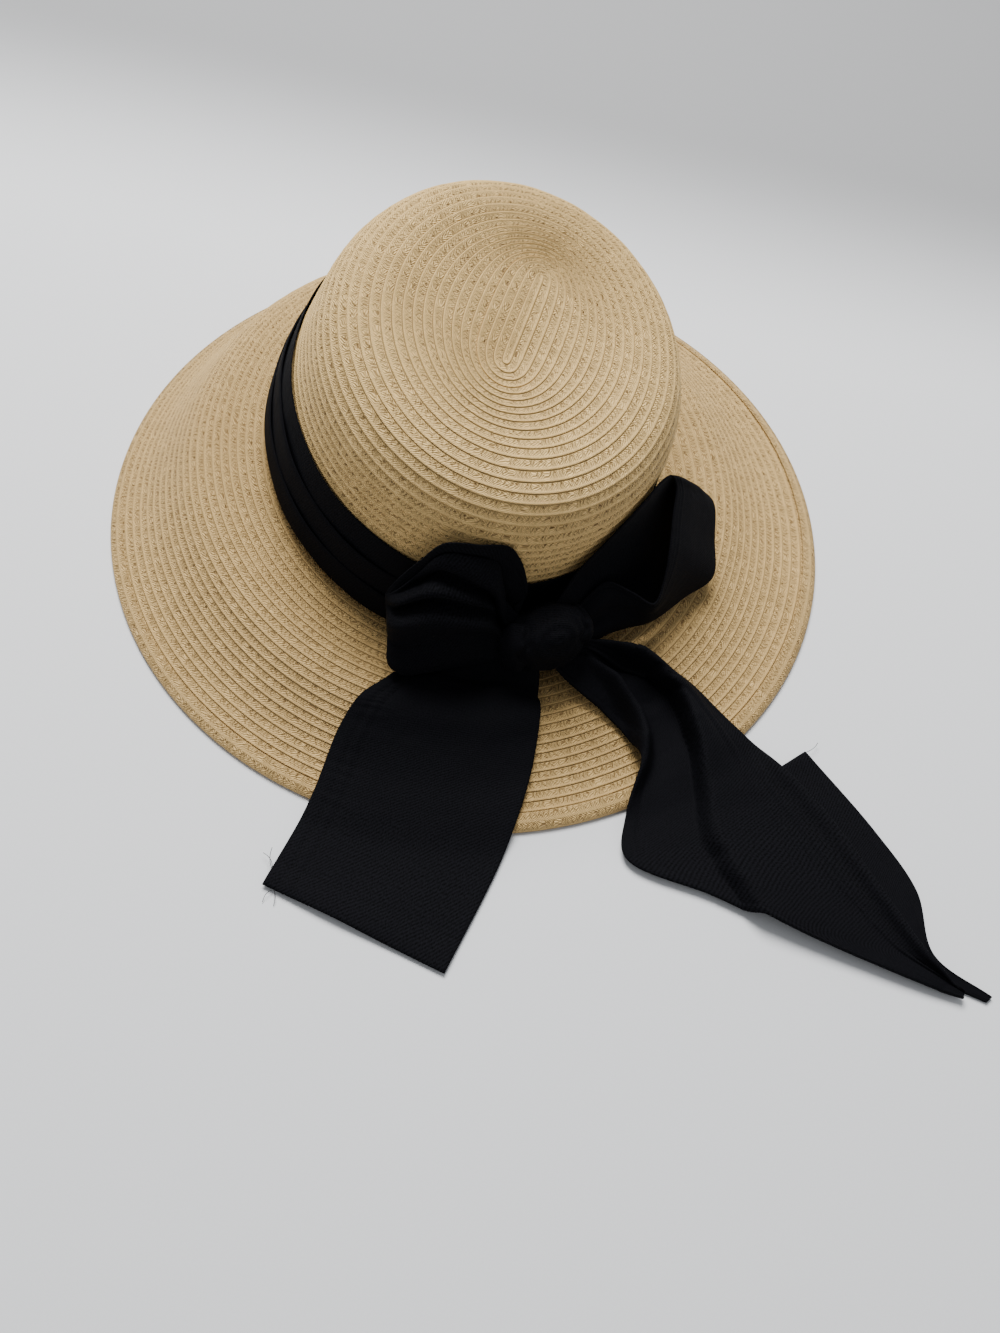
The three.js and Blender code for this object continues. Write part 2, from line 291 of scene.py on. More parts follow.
    def drape(self, x: Array, y: Array) -> Array:
        """Returns the height under cloth: the brim, and a slope from its edge down to the floor."""
        out, angle = self.polar(x, y)
        edge = BRIM_OUT - 3.0
        past = out - edge
        slope = 0.32 * 0.5 * (past + np.sqrt(past * past + 20.0))
        above = self.brim_height(np.minimum(out, edge), angle) + 0.7 - slope
        return 0.5 * (above + np.sqrt(above * above + 1.5))

    def wall(self, height: Array, angle: Array) -> tuple[Array, Array]:
        """Returns points and outward normals of the crown wall, height above the head line."""
        line = self.crown.along(self.table)
        half = len(self.table) // 2
        t = np.interp(-np.asarray(height, float), -line[half:, 2], self.table[half:])
        point = self.crown_at(t, angle)
        d = 0.003
        up = self.crown_at(t - d, angle) - self.crown_at(np.minimum(t + d, 1.0), angle)
        round_ = self.crown_at(t, angle + d) - self.crown_at(t, angle - d)
        normal = np.cross(round_, up)
        return point, normal / np.linalg.norm(normal, axis=-1, keepdims=True)


FORM = HatForm()


# ---- meshes ----


def make_object(
    name: str,
    points: Array,
    quads: Array,
    uv: Array | None = None,
    floats: dict[str, Array] | None = None,
    vectors: dict[str, Array] | None = None,
) -> Object:
    """Makes a mesh object from quads.

    Args:
        name: object name.
        points: vertices in millimetres, in the hat frame.
        quads: four vertex numbers for each face.
        uv: one (u, v) for each corner of each face.
        floats: numbers to store on the vertices.
        vectors: vectors to store on the vertices.
    Returns:
        the object, at the origin of the row frame.
    """
    mesh = bpy.data.meshes.new(name)
    flat = (np.asarray(points, float).reshape(-1, 3) + SHIFT) * MM
    mesh.vertices.add(len(flat))
    mesh.vertices.foreach_set("co", flat.ravel())
    mesh.loops.add(quads.size)
    mesh.loops.foreach_set("vertex_index", quads.ravel().astype(np.int32))
    mesh.polygons.add(len(quads))
    mesh.polygons.foreach_set("loop_start", np.arange(0, quads.size, 4, dtype=np.int32))
    if uv is not None:
        layer = mesh.uv_layers.new(name="cloth")
        layer.data.foreach_set("uv", np.asarray(uv, float).ravel())
    for key, values in (floats or {}).items():
        mesh.attributes.new(key, "FLOAT", "POINT").data.foreach_set("value", values.ravel())
    for key, values in (vectors or {}).items():
        mesh.attributes.new(key, "FLOAT_VECTOR", "POINT").data.foreach_set("vector", values.ravel())
    mesh.update(calc_edges=True)
    mesh.validate()
    mesh.polygons.foreach_set("use_smooth", np.ones(len(mesh.polygons), dtype=bool))
    made = bpy.data.objects.new(name, mesh)
    bpy.context.scene.collection.objects.link(made)
    return made


def torus_quads(rings: int, columns: int) -> tuple[Array, Array, Array]:
    """Numbers the faces of a grid that closes both ways.

    Args:
        rings: rings of the grid.
        columns: points on each ring.
    Returns:
        vertex numbers, and the unwrapped ring and column of each corner.
    """
    i, j = np.meshgrid(np.arange(rings), np.arange(columns), indexing="ij")
    ri = np.stack([i, i + 1, i + 1, i], axis=-1).reshape(-1, 4)
    cj = np.stack([j, j, j + 1, j + 1], axis=-1).reshape(-1, 4)
    return (ri % rings) * columns + (cj % columns), ri, cj


def tube_object(name: str, loops: Array, place: Array, roll: int = 0) -> Object:
    """Makes a closed body from cross-sections whose second half runs back under the first.

    Args:
        name: object name.
        loops: cross-sections, (count, 2 * half, 3).
        place: the cloth coordinates of each point, (count, 2 * half, 2), in metres.
        roll: turns the corners of the last cap's faces, which sets the diagonal they split along.
    Returns:
        the object, with its faces outwards.
    """
    count, around = loops.shape[:2]
    i, j = np.meshgrid(np.arange(count - 1), np.arange(around), indexing="ij")
    this, after = i * around, (i + 1) * around
    turned = (j + 1) % around
    quads = np.stack([this + j, this + turned, after + turned, after + j], axis=-1).reshape(-1, 4)
    k = np.arange(around // 2 - 1)
    first = np.stack([k, around - 1 - k, around - 2 - k, k + 1], axis=-1)
    last = np.stack([k, k + 1, around - 2 - k, around - 1 - k], axis=-1) + (count - 1) * around
    quads = np.vstack([quads, first, np.roll(last, roll, axis=1)])
    made = make_object(name, loops.reshape(-1, 3), quads, place.reshape(-1, 2)[quads])
    face_outwards(made)
    return made


def rim_steps(size: float, count: int, radius: float) -> Array:
    """Returns shares across a sheet, closer together at its two rims so that they round off."""
    fine = np.array([0.0, 0.12, 0.45, 1.0]) * radius / size
    inside = np.linspace(fine[-1], 1.0 - fine[-1], count)[1:-1]
    return np.concatenate([fine, inside, 1.0 - fine[::-1]])


def rim_round(shares: Array, size: float, radius: float) -> Array:
    """Returns how thick a rounded sheet is at each share, from 0 at the rims to 1."""
    edge = np.minimum(shares, 1.0 - shares) * size / radius
    return np.sqrt(np.clip(1.0 - (1.0 - np.clip(edge, 0.0, 1.0)) ** 2, 0.004, 1.0))


Surface = Callable[[Array, Array], Array]


def sheet_object(
    name: str,
    surface: Surface,
    size: tuple[float, float],
    counts: tuple[int, int],
    thick: float = SHEET,
    relief: Surface | None = None,
) -> Object:
    """Makes a closed sheet of cloth with rounded rims.

    Args:
        name: object name.
        surface: the middle of the sheet, from shares along and across it.
        size: length and width in millimetres.
        counts: divisions along and across.
        thick: thickness in millimetres.
        relief: height of seams and puckers on the upper face, in millimetres.
    Returns:
        the object.
    """
    along = rim_steps(size[0], counts[0], thick / 2)
    across = rim_steps(size[1], counts[1], thick / 2)
    u, v = np.meshgrid(along, across, indexing="ij")
    middle = surface(u, v)
    d = 0.004
    du = surface(np.minimum(u + d, 1), v) - surface(np.maximum(u - d, 0), v)
    dv = surface(u, np.minimum(v + d, 1)) - surface(u, np.maximum(v - d, 0))
    normal = np.cross(du, dv)
    normal /= np.maximum(np.linalg.norm(normal, axis=-1, keepdims=True), 1e-9)
    half = thick / 2 * rim_round(u, size[0], thick / 2) * rim_round(v, size[1], thick / 2)
    top = half.copy()
    if relief is not None:
        top += relief(u, v) * np.clip(half / (thick / 2), 0, 1)
    upper = middle + normal * top[..., None]
    lower = middle - normal * half[..., None]
    loops = np.concatenate([upper, lower[:, ::-1]], axis=1)
    place = np.stack([u * size[0], v * size[1]], axis=-1) * MM
    places = np.concatenate([place, place[:, ::-1]], axis=1)
    return tube_object(name, loops, places)


def face_outwards(made: Object) -> None:
    """Turns every face of a closed mesh outwards by its signed volume."""
    mesh = made.data
    points = np.empty(len(mesh.vertices) * 3)
    mesh.vertices.foreach_get("co", points)
    points = points.reshape(-1, 3)
    mesh.calc_loop_triangles()
    tris = np.empty(len(mesh.loop_triangles) * 3, dtype=np.int32)
    mesh.loop_triangles.foreach_get("vertices", tris)
    a, b, c = points[tris.reshape(-1, 3)].transpose(1, 0, 2)
    if np.einsum("ij,ij->i", a, np.cross(b, c)).sum() < 0:
        mesh.flip_normals()


# ---- node trees ----


class Tree:
    """Short forms for building a node tree."""

    def __init__(self, tree: NodeTree) -> None:
        """Args: tree: the tree to fill."""
        self.tree = tree

    def add(self, kind: str, **settings: object) -> Node:
        """Returns a new node with its settings set."""
        node = self.tree.nodes.new(kind)
        for key, value in settings.items():
            setattr(node, key, value)
        return node

    def link(self, source: Socket, target: Socket) -> None:
        """Joins two sockets."""
        self.tree.links.new(source, target)

    def feed(self, target: Socket, value: object) -> None:
        """Sets or links an input."""
        if isinstance(value, Socket):
            self.link(value, target)
        else:
            target.default_value = value

    def math(self, operation: str, a: object, b: object = 0.0, c: object = 0.0) -> Socket:
        """Returns the result of a math node."""
        node = self.add("ShaderNodeMath", operation=operation)
        for socket, value in zip(node.inputs, (a, b, c)):
            self.feed(socket, value)
        return node.outputs[0]

    def plus(self, a: object, b: object) -> Socket:
        """Returns a sum."""
        return self.math("ADD", a, b)

    def minus(self, a: object, b: object) -> Socket:
        """Returns a difference."""
        return self.math("SUBTRACT", a, b)

    def times(self, a: object, b: object) -> Socket:
        """Returns a product."""
        return self.math("MULTIPLY", a, b)

    def ramp(self, value: object, low: float, high: float, to: tuple[float, float] = (0.0, 1.0)) -> Socket:
        """Returns a smooth step between low and high."""
        node = self.add("ShaderNodeMapRange", interpolation_type="SMOOTHSTEP")
        titles = "Value", "From Min", "From Max", "To Min", "To Max"
        for title, given in zip(titles, (value, low, high, *to)):
            self.feed(node.inputs[title], given)
        return node.outputs["Result"]

    def mix(self, share: object, a: object, b: object) -> Socket:
        """Returns a mix of two colours."""
        node = self.add("ShaderNodeMix", data_type="RGBA")
        self.feed(node.inputs[0], share)
        self.feed(node.inputs[6], a)
        self.feed(node.inputs[7], b)
        return node.outputs[2]

    def noise(self, vector: object, scale: float, detail: float = 2.0) -> Socket:
        """Returns noise read at a vector."""
        node = self.add("ShaderNodeTexNoise")
        self.feed(node.inputs["Vector"], vector)
        node.inputs["Scale"].default_value = scale
        node.inputs["Detail"].default_value = detail
        return node.outputs[0]

    def vector(self, x: object, y: object, z: object = 0.0) -> Socket:
        """Returns a vector of three numbers."""
        node = self.add("ShaderNodeCombineXYZ")
        for socket, value in zip(node.inputs, (x, y, z)):
            self.feed(socket, value)
        return node.outputs[0]


Slots = Sequence[tuple[str, str]]


def new_group(name: str, inputs: Slots, outputs: Slots) -> tuple[Tree, dict, dict]:
    """Makes a shader node group.

    Args:
        name: group name.
        inputs: name and socket type of each input.
        outputs: name and socket type of each output.
    Returns:
        the tree, its input sockets and its output sockets by name.
    """
    group = bpy.data.node_groups.new(name, "ShaderNodeTree")
    for title, kind in inputs:
        group.interface.new_socket(title, in_out="INPUT", socket_type=kind)
    for title, kind in outputs:
        group.interface.new_socket(title, in_out="OUTPUT", socket_type=kind)
    tree = Tree(group)
    entry = tree.add("NodeGroupInput")
    leave = tree.add("NodeGroupOutput")
    return tree, {s.name: s for s in entry.outputs if s.name}, {s.name: s for s in leave.inputs if s.name}


FLOAT, VECTOR = "NodeSocketFloat", "NodeSocketVector"
MATERIAL, WHOLE = "NodeSocketMaterial", "NodeSocketInt"


@dataclass(frozen=True)
class Marks:
    """A run of dark marks along a row of braid.

    They have a spacing, a half width, a place and half length across, a slant and a least strength.
    """

    pitch: float
    half: float
    centre: float
    reach: float
    slant: float
    least: float


SLITS = Marks(pitch=2.3, half=0.50, centre=1.35, reach=1.25, slant=0.60, least=0.30)
CROSS_SLITS = Marks(pitch=2.7, half=0.46, centre=2.45, reach=0.85, slant=-0.7, least=0.30)
HOLES = Marks(pitch=STITCH, half=0.70, centre=1.00, reach=0.62, slant=0.1, least=0.35)


def braid_group() -> NodeTree:
    """Makes the plait pattern: a cord at the outer edge, slanted strands, slits and sewing holes, with
    painted shade along the lapped edges of each row.

    Returns:
        a group that turns (millimetres along, row) into Tone, Hole_and_shade (holes, slits and painted
        shade at the row edges) and Height.
    """
    results = [("Tone", FLOAT), ("Hole_and_shade", FLOAT), ("Height", FLOAT)]
    tree, given, out = new_group("braid_weave", [("Place", VECTOR)], results)
    split = tree.add("ShaderNodeSeparateXYZ")
    tree.link(given["Place"], split.inputs[0])
    number = tree.math("FLOOR", split.outputs[1])
    across = tree.math("FRACT", split.outputs[1])
    start = tree.times(random_of(tree, number), 40.0)
    wander = tree.noise(tree.vector(tree.times(split.outputs[0], 0.13), tree.times(number, 3.7)), 1.0, 2.0)
    along = tree.plus(tree.plus(split.outputs[0], start), tree.times(wander, 9.0))
    row_mm = tree.times(across, ROW)

    cord = tree.ramp(across, 0.68, 0.77)
    flat = tree.minus(1.0, cord)
    chevron = tree.math("ABSOLUTE", tree.minus(row_mm, 1.5))
    plait = wave_of(tree, tree.plus(along, tree.times(chevron, 1.1)), 1.25)
    twist = wave_of(tree, tree.plus(along, tree.times(row_mm, 1.6)), 1.05)
    tuft = tree.noise(tree.vector(tree.times(along, 1.3), tree.times(row_mm, 1.5), number), 1.0, 2.0)

    slits = marks_of(tree, along, row_mm, number, SLITS)
    cross_slits = marks_of(tree, along, row_mm, number, CROSS_SLITS)
    holes = marks_of(tree, along, row_mm, number, HOLES)
    # painted shade: both edges of each row darken where one row laps over the next
    low_gap_shade = tree.ramp(across, 0.0, 0.09, (1.0, 0.0))
    high_gap_shade = tree.ramp(across, 0.965, 1.0)
    gap = tree.times(tree.math("MAXIMUM", low_gap_shade, high_gap_shade), 0.50)
    dark = tree.math("MAXIMUM", tree.times(slits, 0.82), tree.times(cross_slits, 0.72))
    dark = tree.math("MAXIMUM", dark, tree.times(holes, 1.05))

    body = tree.times(tree.math("MULTIPLY_ADD", plait, 0.45, 0.45), flat)
    rope = tree.times(tree.math("MULTIPLY_ADD", twist, 0.24, 0.50), cord)
    tone = tree.plus(tree.plus(body, rope), tree.math("MULTIPLY_ADD", tuft, 1.3, -0.62))
    tree.link(tone, out["Tone"])
    # the dark marks and the painted row-edge shade go out together
    tree.link(tree.math("MAXIMUM", dark, gap), out["Hole_and_shade"])
    raised = tree.plus(tree.times(body, 0.9), tree.times(rope, 0.9))
    tree.link(tree.minus(raised, tree.times(dark, 0.9)), out["Height"])
    return tree.tree


def random_of(tree: Tree, value: Socket) -> Socket:
    """Returns a fixed random number for each whole value."""
    white = tree.add("ShaderNodeTexWhiteNoise", noise_dimensions="1D")
    tree.link(value, white.inputs["W"])
    return white.outputs["Value"]


def wave_of(tree: Tree, value: Socket, period: float) -> Socket:
    """Returns a sine wave of a period."""
    return tree.math("SINE", tree.times(value, TAU / period))


def marks_of(
    tree: Tree,
    along: Socket,
    row_mm: Socket,
    number: Socket,
    marks: Marks,
) -> Socket:
    """Returns a mask of marks that repeat along a row, each with its own strength.

    Args:
        tree: the tree to build in.
        along: millimetres along the row.
        row_mm: millimetres across the row.
        number: the row's number.
        marks: the marks' spacing and shape.
    Returns:
        the mask, from 0 to 1.
    """
    off = tree.minus(row_mm, marks.centre)
    place = tree.math("DIVIDE", tree.plus(along, tree.times(off, marks.slant)), marks.pitch)
    cell = tree.plus(tree.math("FLOOR", place), tree.times(number, 57.0))
    power = tree.math("MULTIPLY_ADD", random_of(tree, cell), 1.0 - marks.least, marks.least)
    near = tree.times(tree.minus(tree.math("FRACT", place), 0.5), marks.pitch / marks.half)
    wide = tree.math("DIVIDE", off, marks.reach)
    far = tree.plus(tree.times(near, near), tree.times(wide, wide))
    return tree.times(tree.ramp(far, 0.2, 1.3, (1.0, 0.0)), power)


def twill_group() -> NodeTree:
    """Makes the weave of the black cloth.

    Returns:
        a group that turns cloth coordinates in metres into Tone and Height.
    """
    tree, given, out = new_group("cloth_twill", [("Place", VECTOR)], [("Tone", FLOAT), ("Height", FLOAT)])
    split = tree.add("ShaderNodeSeparateXYZ")
    tree.link(given["Place"], split.inputs[0])
    u, v = split.outputs[0], split.outputs[1]
    warped = tree.times(tree.noise(given["Place"], 60.0, 1.0), 1.4)
    ribs = tree.plus(tree.times(tree.plus(u, tree.times(v, 0.6)), 900.0), warped)
    rib = tree.math("SINE", tree.times(ribs, TAU))
    cross = tree.math("SINE", tree.times(tree.minus(v, tree.times(u, 0.5)), 1500.0 * TAU))
    crumple = tree.noise(given["Place"], 45.0, 4.0)
    grain = tree.noise(given["Place"], 1800.0, 1.0)
    weave = tree.math("MULTIPLY_ADD", cross, 0.3, rib)
    tree.link(tree.plus(tree.times(weave, 0.12), tree.times(grain, 0.9)), out["Tone"])
    tree.link(tree.math("MULTIPLY_ADD", weave, 0.03, tree.times(crumple, 3.0)), out["Height"])
    return tree.tree


def blotch_group() -> NodeTree:
    """Makes slow changes of tone over the whole hat.

    Returns:
        a group that turns object coordinates into a Tone about 0.5.
    """
    tree, given, out = new_group("slow_blotch", [("Place", VECTOR)], [("Tone", FLOAT)])
    wide = tree.noise(given["Place"], 14.0, 3.0)
    fine = tree.noise(given["Place"], 240.0, 2.0)
    tree.link(tree.plus(tree.times(wide, 0.6), tree.times(fine, 0.4)), out["Tone"])
    return tree.tree


def use_group(tree: Tree, group: NodeTree, place: Socket) -> dict:
    """Adds a group node fed with a place, and returns its outputs by name."""
    node = tree.add("ShaderNodeGroup", node_tree=group)
    tree.link(place, node.inputs["Place"])
    return {s.name: s for s in node.outputs}


def new_material(name: str, colour: Triple, roughness: float) -> tuple[Material, Tree, Node]:
    """Makes a material with one Principled BSDF, and returns it, its tree and the BSDF."""
    material = bpy.data.materials.new(name)
    material.use_nodes = True
    material.diffuse_color = (*colour, 1.0)
    tree = Tree(material.node_tree)
    shader = material.node_tree.nodes["Principled BSDF"]
    shader.inputs["Base Color"].default_value = (*colour, 1.0)
    shader.inputs["Roughness"].default_value = roughness
    return material, tree, shader


def add_bump(tree: Tree, shader: Node, height: Socket, strength: float, distance: float) -> None:
    """Feeds a height into the normal of a shader."""
    node = tree.add("ShaderNodeBump")
    node.inputs["Strength"].default_value = strength
    node.inputs["Distance"].default_value = distance
    tree.link(height, node.inputs["Height"])
    tree.link(node.outputs["Normal"], shader.inputs["Normal"])


@dataclass(frozen=True)
class StrawFinish:
    """Plaited paper straw."""

    name: str = "braid_straw"
    light: Triple = (0.93, 0.635, 0.268)
    middle: Triple = (0.56, 0.365, 0.130)
    dark: Triple = (0.15, 0.082, 0.026)
    roughness: float = 0.62

    def material(self, braid: NodeTree, blotch: NodeTree) -> Material:
        """Returns the material, read from the braid's own coordinates."""
        made, tree, shader = new_material(self.name, self.middle, self.roughness)
        place = tree.add("ShaderNodeUVMap", uv_map="cloth").outputs["UV"]
        weave = use_group(tree, braid, place)
        spots = use_group(tree, blotch, tree.add("ShaderNodeTexCoord").outputs["Object"])
        base = tree.mix(weave["Tone"], (*self.middle, 1), (*self.light, 1))
        tinted = tree.mix(tree.ramp(spots["Tone"], 0.35, 0.65, (0.0, 0.14)), base, (*self.dark, 1))
        # darkens the straw at holes and slits, and paints shade at the row edges
        holed_and_shaded = tree.mix(tree.times(weave["Hole_and_shade"], 0.9), tinted, (*self.dark, 1))
        tree.link(holed_and_shaded, shader.inputs["Base Color"])
        shader.inputs["Specular IOR Level"].default_value = 0.2
        add_bump(tree, shader, weave["Height"], 0.85, 0.0007)
        return made


@dataclass(frozen=True)
class ClothFinish:
    """Woven cloth, nearly black for the sash."""

    name: str
    colour: Triple
    pale: Triple
    roughness: float = 0.8

    def material(self, twill: NodeTree) -> Material:
        """Returns the material, read from the cloth's own coordinates."""
        made, tree, shader = new_material(self.name, self.colour, self.roughness)
        place = tree.add("ShaderNodeUVMap", uv_map="cloth").outputs["UV"]
        weave = use_group(tree, twill, place)
        tone = tree.ramp(weave["Tone"], 0.1, 0.7)
        tree.link(tree.mix(tone, (*self.colour, 1), (*self.pale, 1)), shader.inputs["Base Color"])
        shader.inputs["Specular IOR Level"].default_value = 0.045
        add_bump(tree, shader, weave["Height"], 0.5, 0.0009)
        return made


@dataclass(frozen=True)
class ThreadFinish:
    """Sewing thread of one colour."""

    name: str
    colour: Triple

    def material(self) -> Material:
        """Returns the material."""
        made, tree, shader = new_material(self.name, self.colour, 0.75)
        shader.inputs["Specular IOR Level"].default_value = 0.1
        grain = tree.noise(tree.add("ShaderNodeTexCoord").outputs["Object"], 2500.0, 2.0)
        add_bump(tree, shader, grain, 0.4, 0.0002)
        return made


@dataclass
class Finishes:
    """Every material of the hat."""

    straw: Material = field(init=False)
    brim_straw: Material = field(init=False)
    sash: Material = field(init=False)
    lining: Material = field(init=False)
    black_thread: Material = field(init=False)
    pale_thread: Material = field(init=False)

    def __post_init__(self) -> None:
        """Builds the shared groups once and the materials from them."""
        braid, twill, blotch = braid_group(), twill_group(), blotch_group()
        self.straw = StrawFinish().material(braid, blotch)
        # painted shade: the brim's straw is a darker copy of the crown straw, standing in for the brim
        # catching less light than the crown
        brim = StrawFinish("braid_straw_brim", (0.78, 0.522, 0.220), (0.480, 0.310, 0.112))
        self.brim_straw = brim.material(braid, blotch)
        sash = ClothFinish("sash_cloth", (0.0004, 0.0004, 0.0006), (0.0056, 0.0056, 0.0074))
        self.sash = sash.material(twill)
        lining = ClothFinish("lining_tape", (0.012, 0.012, 0.013), (0.02, 0.02, 0.022))
        self.lining = lining.material(twill)
        self.black_thread = ThreadFinish("thread_black", (0.002, 0.002, 0.0024)).material()
        self.pale_thread = ThreadFinish("thread_pale", (0.42, 0.39, 0.34)).material()


# ---- geometry node trees ----


def modifier_tree(name: str, inputs: Sequence[tuple[str, str, float]]) -> tuple[Tree, dict, Socket]:
    """Makes a geometry node tree with a geometry in and out.

    Args:
        name: tree name.
        inputs: name, socket type and default of each further input.
    Returns:
        the tree, its input sockets by name and its output socket.
    """
    group = bpy.data.node_groups.new(name, "GeometryNodeTree")
    group.interface.new_socket("Geometry", in_out="INPUT", socket_type="NodeSocketGeometry")
    for title, kind, default in inputs:
        made = group.interface.new_socket(title, in_out="INPUT", socket_type=kind)
        if default is not None:
            made.default_value = default
    group.interface.new_socket("Geometry", in_out="OUTPUT", socket_type="NodeSocketGeometry")
    tree = Tree(group)
    entry, leave = tree.add("NodeGroupInput"), tree.add("NodeGroupOutput")
    return tree, {s.name: s for s in entry.outputs if s.name}, leave.inputs[0]


def finish_tree(tree: Tree, geometry: Socket, material: Socket, out: Socket) -> None:
    """Ends a tree with Realize Instances and Set Material."""
    real = tree.add("GeometryNodeRealizeInstances")
    tree.link(geometry, real.inputs[0])
    paint = tree.add("GeometryNodeSetMaterial")
    tree.link(real.outputs[0], paint.inputs["Geometry"])
    tree.link(material, paint.inputs["Material"])
    tree.link(paint.outputs[0], out)


def named(tree: Tree, key: str, kind: str = "FLOAT") -> Socket:
    """Returns a stored attribute of the vertices."""
    node = tree.add("GeometryNodeInputNamedAttribute", data_type=kind)
    node.inputs["Name"].default_value = key
    return node.outputs["Attribute"]


# Height of a row of braid across its width: a lap, a flat, a groove and a cord.
ROW_SHAPE = [
    (0.0, 0.0), (0.1, 0.40), (0.35, 0.55), (0.64, 0.58), (0.73, 0.52),
    (0.80, 0.80), (0.88, 1.0), (0.95, 0.86), (1.0, 0.45),
]


def braid_tree() -> NodeTree:
    """Makes the tree that raises each row of braid: a lap, a groove and a cord at its outer edge."""
    inputs = [
        ("Step", FLOAT, 0.001),
        ("Waver", FLOAT, 0.0002),
        ("Material", MATERIAL, None),
    ]
    tree, given, out = modifier_tree("braid_rows", inputs)
    curve = tree.add("ShaderNodeFloatCurve")
    points = curve.mapping.curves[0].points
    points[0].location, points[1].location = ROW_SHAPE[0], ROW_SHAPE[-1]
    for x, y in ROW_SHAPE[1:-1]:
        points.new(x, y)
    curve.mapping.update()
    tree.link(tree.math("FRACT", named(tree, "row")), curve.inputs["Value"])
    drop = tree.minus(curve.outputs[0], 1.0)
    noise = tree.noise(tree.add("GeometryNodeInputPosition").outputs[0], 60.0, 2.0)
    waver = tree.times(tree.minus(noise, 0.5), given["Waver"])
    depth = tree.plus(tree.times(drop, given["Step"]), waver)
    shift = tree.add("ShaderNodeVectorMath", operation="SCALE")
    tree.link(named(tree, "lift", "FLOAT_VECTOR"), shift.inputs[0])
    tree.link(tree.times(depth, named(tree, "skin")), shift.inputs["Scale"])
    move = tree.add("GeometryNodeSetPosition")
    tree.link(given["Geometry"], move.inputs["Geometry"])
    tree.link(shift.outputs[0], move.inputs["Offset"])
    finish_tree(tree, move.outputs[0], given["Material"], out)
    return tree.tree


def stitch_tree() -> NodeTree:
    """Makes the tree that lays a running stitch along a path of edges."""
    inputs = [
        ("Pitch", FLOAT, 0.003),
        ("Length", FLOAT, 0.0021),
        ("Radius", FLOAT, 0.0002),
        ("Seed", WHOLE, 3),
        ("Material", MATERIAL, None),
    ]
    tree, given, out = modifier_tree("seam_stitches", inputs)
    path = tree.add("GeometryNodeMeshToCurve")
    tree.link(given["Geometry"], path.inputs[0])
    spaced = tree.add("GeometryNodeResampleCurve", mode="LENGTH")
    tree.link(path.outputs[0], spaced.inputs["Curve"])
    tree.link(given["Pitch"], spaced.inputs["Length"])
    stitch = tree.add("GeometryNodeMeshUVSphere")
    stitch.inputs["Segments"].default_value = 6
    stitch.inputs["Rings"].default_value = 5
    stitch.inputs["Radius"].default_value = 1.0
    size = tree.vector(given["Radius"], given["Radius"], tree.times(given["Length"], 0.5))
    small = tree.add("GeometryNodeTransform")
    tree.link(stitch.outputs["Mesh"], small.inputs["Geometry"])
    tree.link(size, small.inputs["Scale"])
    place = tree.add("GeometryNodeInstanceOnPoints")
    tree.link(spaced.outputs[0], place.inputs["Points"])
    tree.link(small.outputs[0], place.inputs["Instance"])
    turn = tree.add("FunctionNodeAlignRotationToVector", axis="Z")
    tree.link(tree.add("GeometryNodeInputTangent").outputs[0], turn.inputs["Vector"])
    tree.link(turn.outputs[0], place.inputs["Rotation"])
    vary = tree.add("FunctionNodeRandomValue", data_type="FLOAT")
    vary.inputs[2].default_value = 0.85
    vary.inputs[3].default_value = 1.1
    tree.link(given["Seed"], vary.inputs["Seed"])
    tree.link(vary.outputs[1], place.inputs["Scale"])
    finish_tree(tree, place.outputs[0], given["Material"], out)
    return tree.tree


def fray_tree() -> NodeTree:
    """Makes the tree that turns loose paths of edges into round threads."""
    inputs = [
        ("Radius", FLOAT, 0.00013),
        ("Material", MATERIAL, None),
    ]
    tree, given, out = modifier_tree("loose_threads", inputs)
    path = tree.add("GeometryNodeMeshToCurve")
    tree.link(given["Geometry"], path.inputs[0])
    ring = tree.add("GeometryNodeCurvePrimitiveCircle")
    ring.inputs["Resolution"].default_value = 6
    tree.link(given["Radius"], ring.inputs["Radius"])
    solid = tree.add("GeometryNodeCurveToMesh")
    tree.link(path.outputs[0], solid.inputs["Curve"])
    tree.link(ring.outputs["Curve"], solid.inputs["Profile Curve"])
    solid.inputs["Fill Caps"].default_value = True
    finish_tree(tree, solid.outputs[0], given["Material"], out)
    return tree.tree


def run_tree(made: Object, tree: NodeTree, **values: object) -> Object:
    """Runs a geometry node tree on an object and leaves a plain mesh.

    Args:
        made: the object to change.
        tree: the tree.
        values: inputs by name, with _ for a space.
    Returns:
        the same object.
    """
    modifier = made.modifiers.new("tree", "NODES")
    modifier.node_group = tree
    for item in tree.interface.items_tree:
        key = item.name.replace(" ", "_")
        if item.in_out == "INPUT" and key in values:
            modifier[item.identifier] = values[key]
    graph = bpy.context.evaluated_depsgraph_get()
    changed = made.evaluated_get(graph)
    mesh = bpy.data.meshes.new_from_object(changed, preserve_all_data_layers=True, depsgraph=graph)
    made.modifiers.clear()
    old = made.data
    made.data = mesh
    mesh.name = made.name
    bpy.data.meshes.remove(old)
    for key in ("row", "skin", "lift"):
        if key in mesh.attributes:
            mesh.attributes.remove(mesh.attributes[key])
    return made


def path_object(name: str, paths: Sequence[Array]) -> Object:
    """Makes one mesh of open chains of edges from points in millimetres in the hat frame."""
    points, edges = [], []
    for path in paths:
        first = len(points)
        points.extend(tuple((np.asarray(p) + SHIFT) * MM) for p in path)
        edges.extend((first + i, first + i + 1) for i in range(len(path) - 1))
    mesh = bpy.data.meshes.new(name)
    mesh.from_pydata(points, edges, [])
    made = bpy.data.objects.new(name, mesh)
    bpy.context.scene.collection.objects.link(made)
    return made


@dataclass
class Trees:
    """The geometry node trees of the hat."""

    braid: NodeTree = field(default_factory=braid_tree)
    stitch: NodeTree = field(default_factory=stitch_tree)
    fray: NodeTree = field(default_factory=fray_tree)


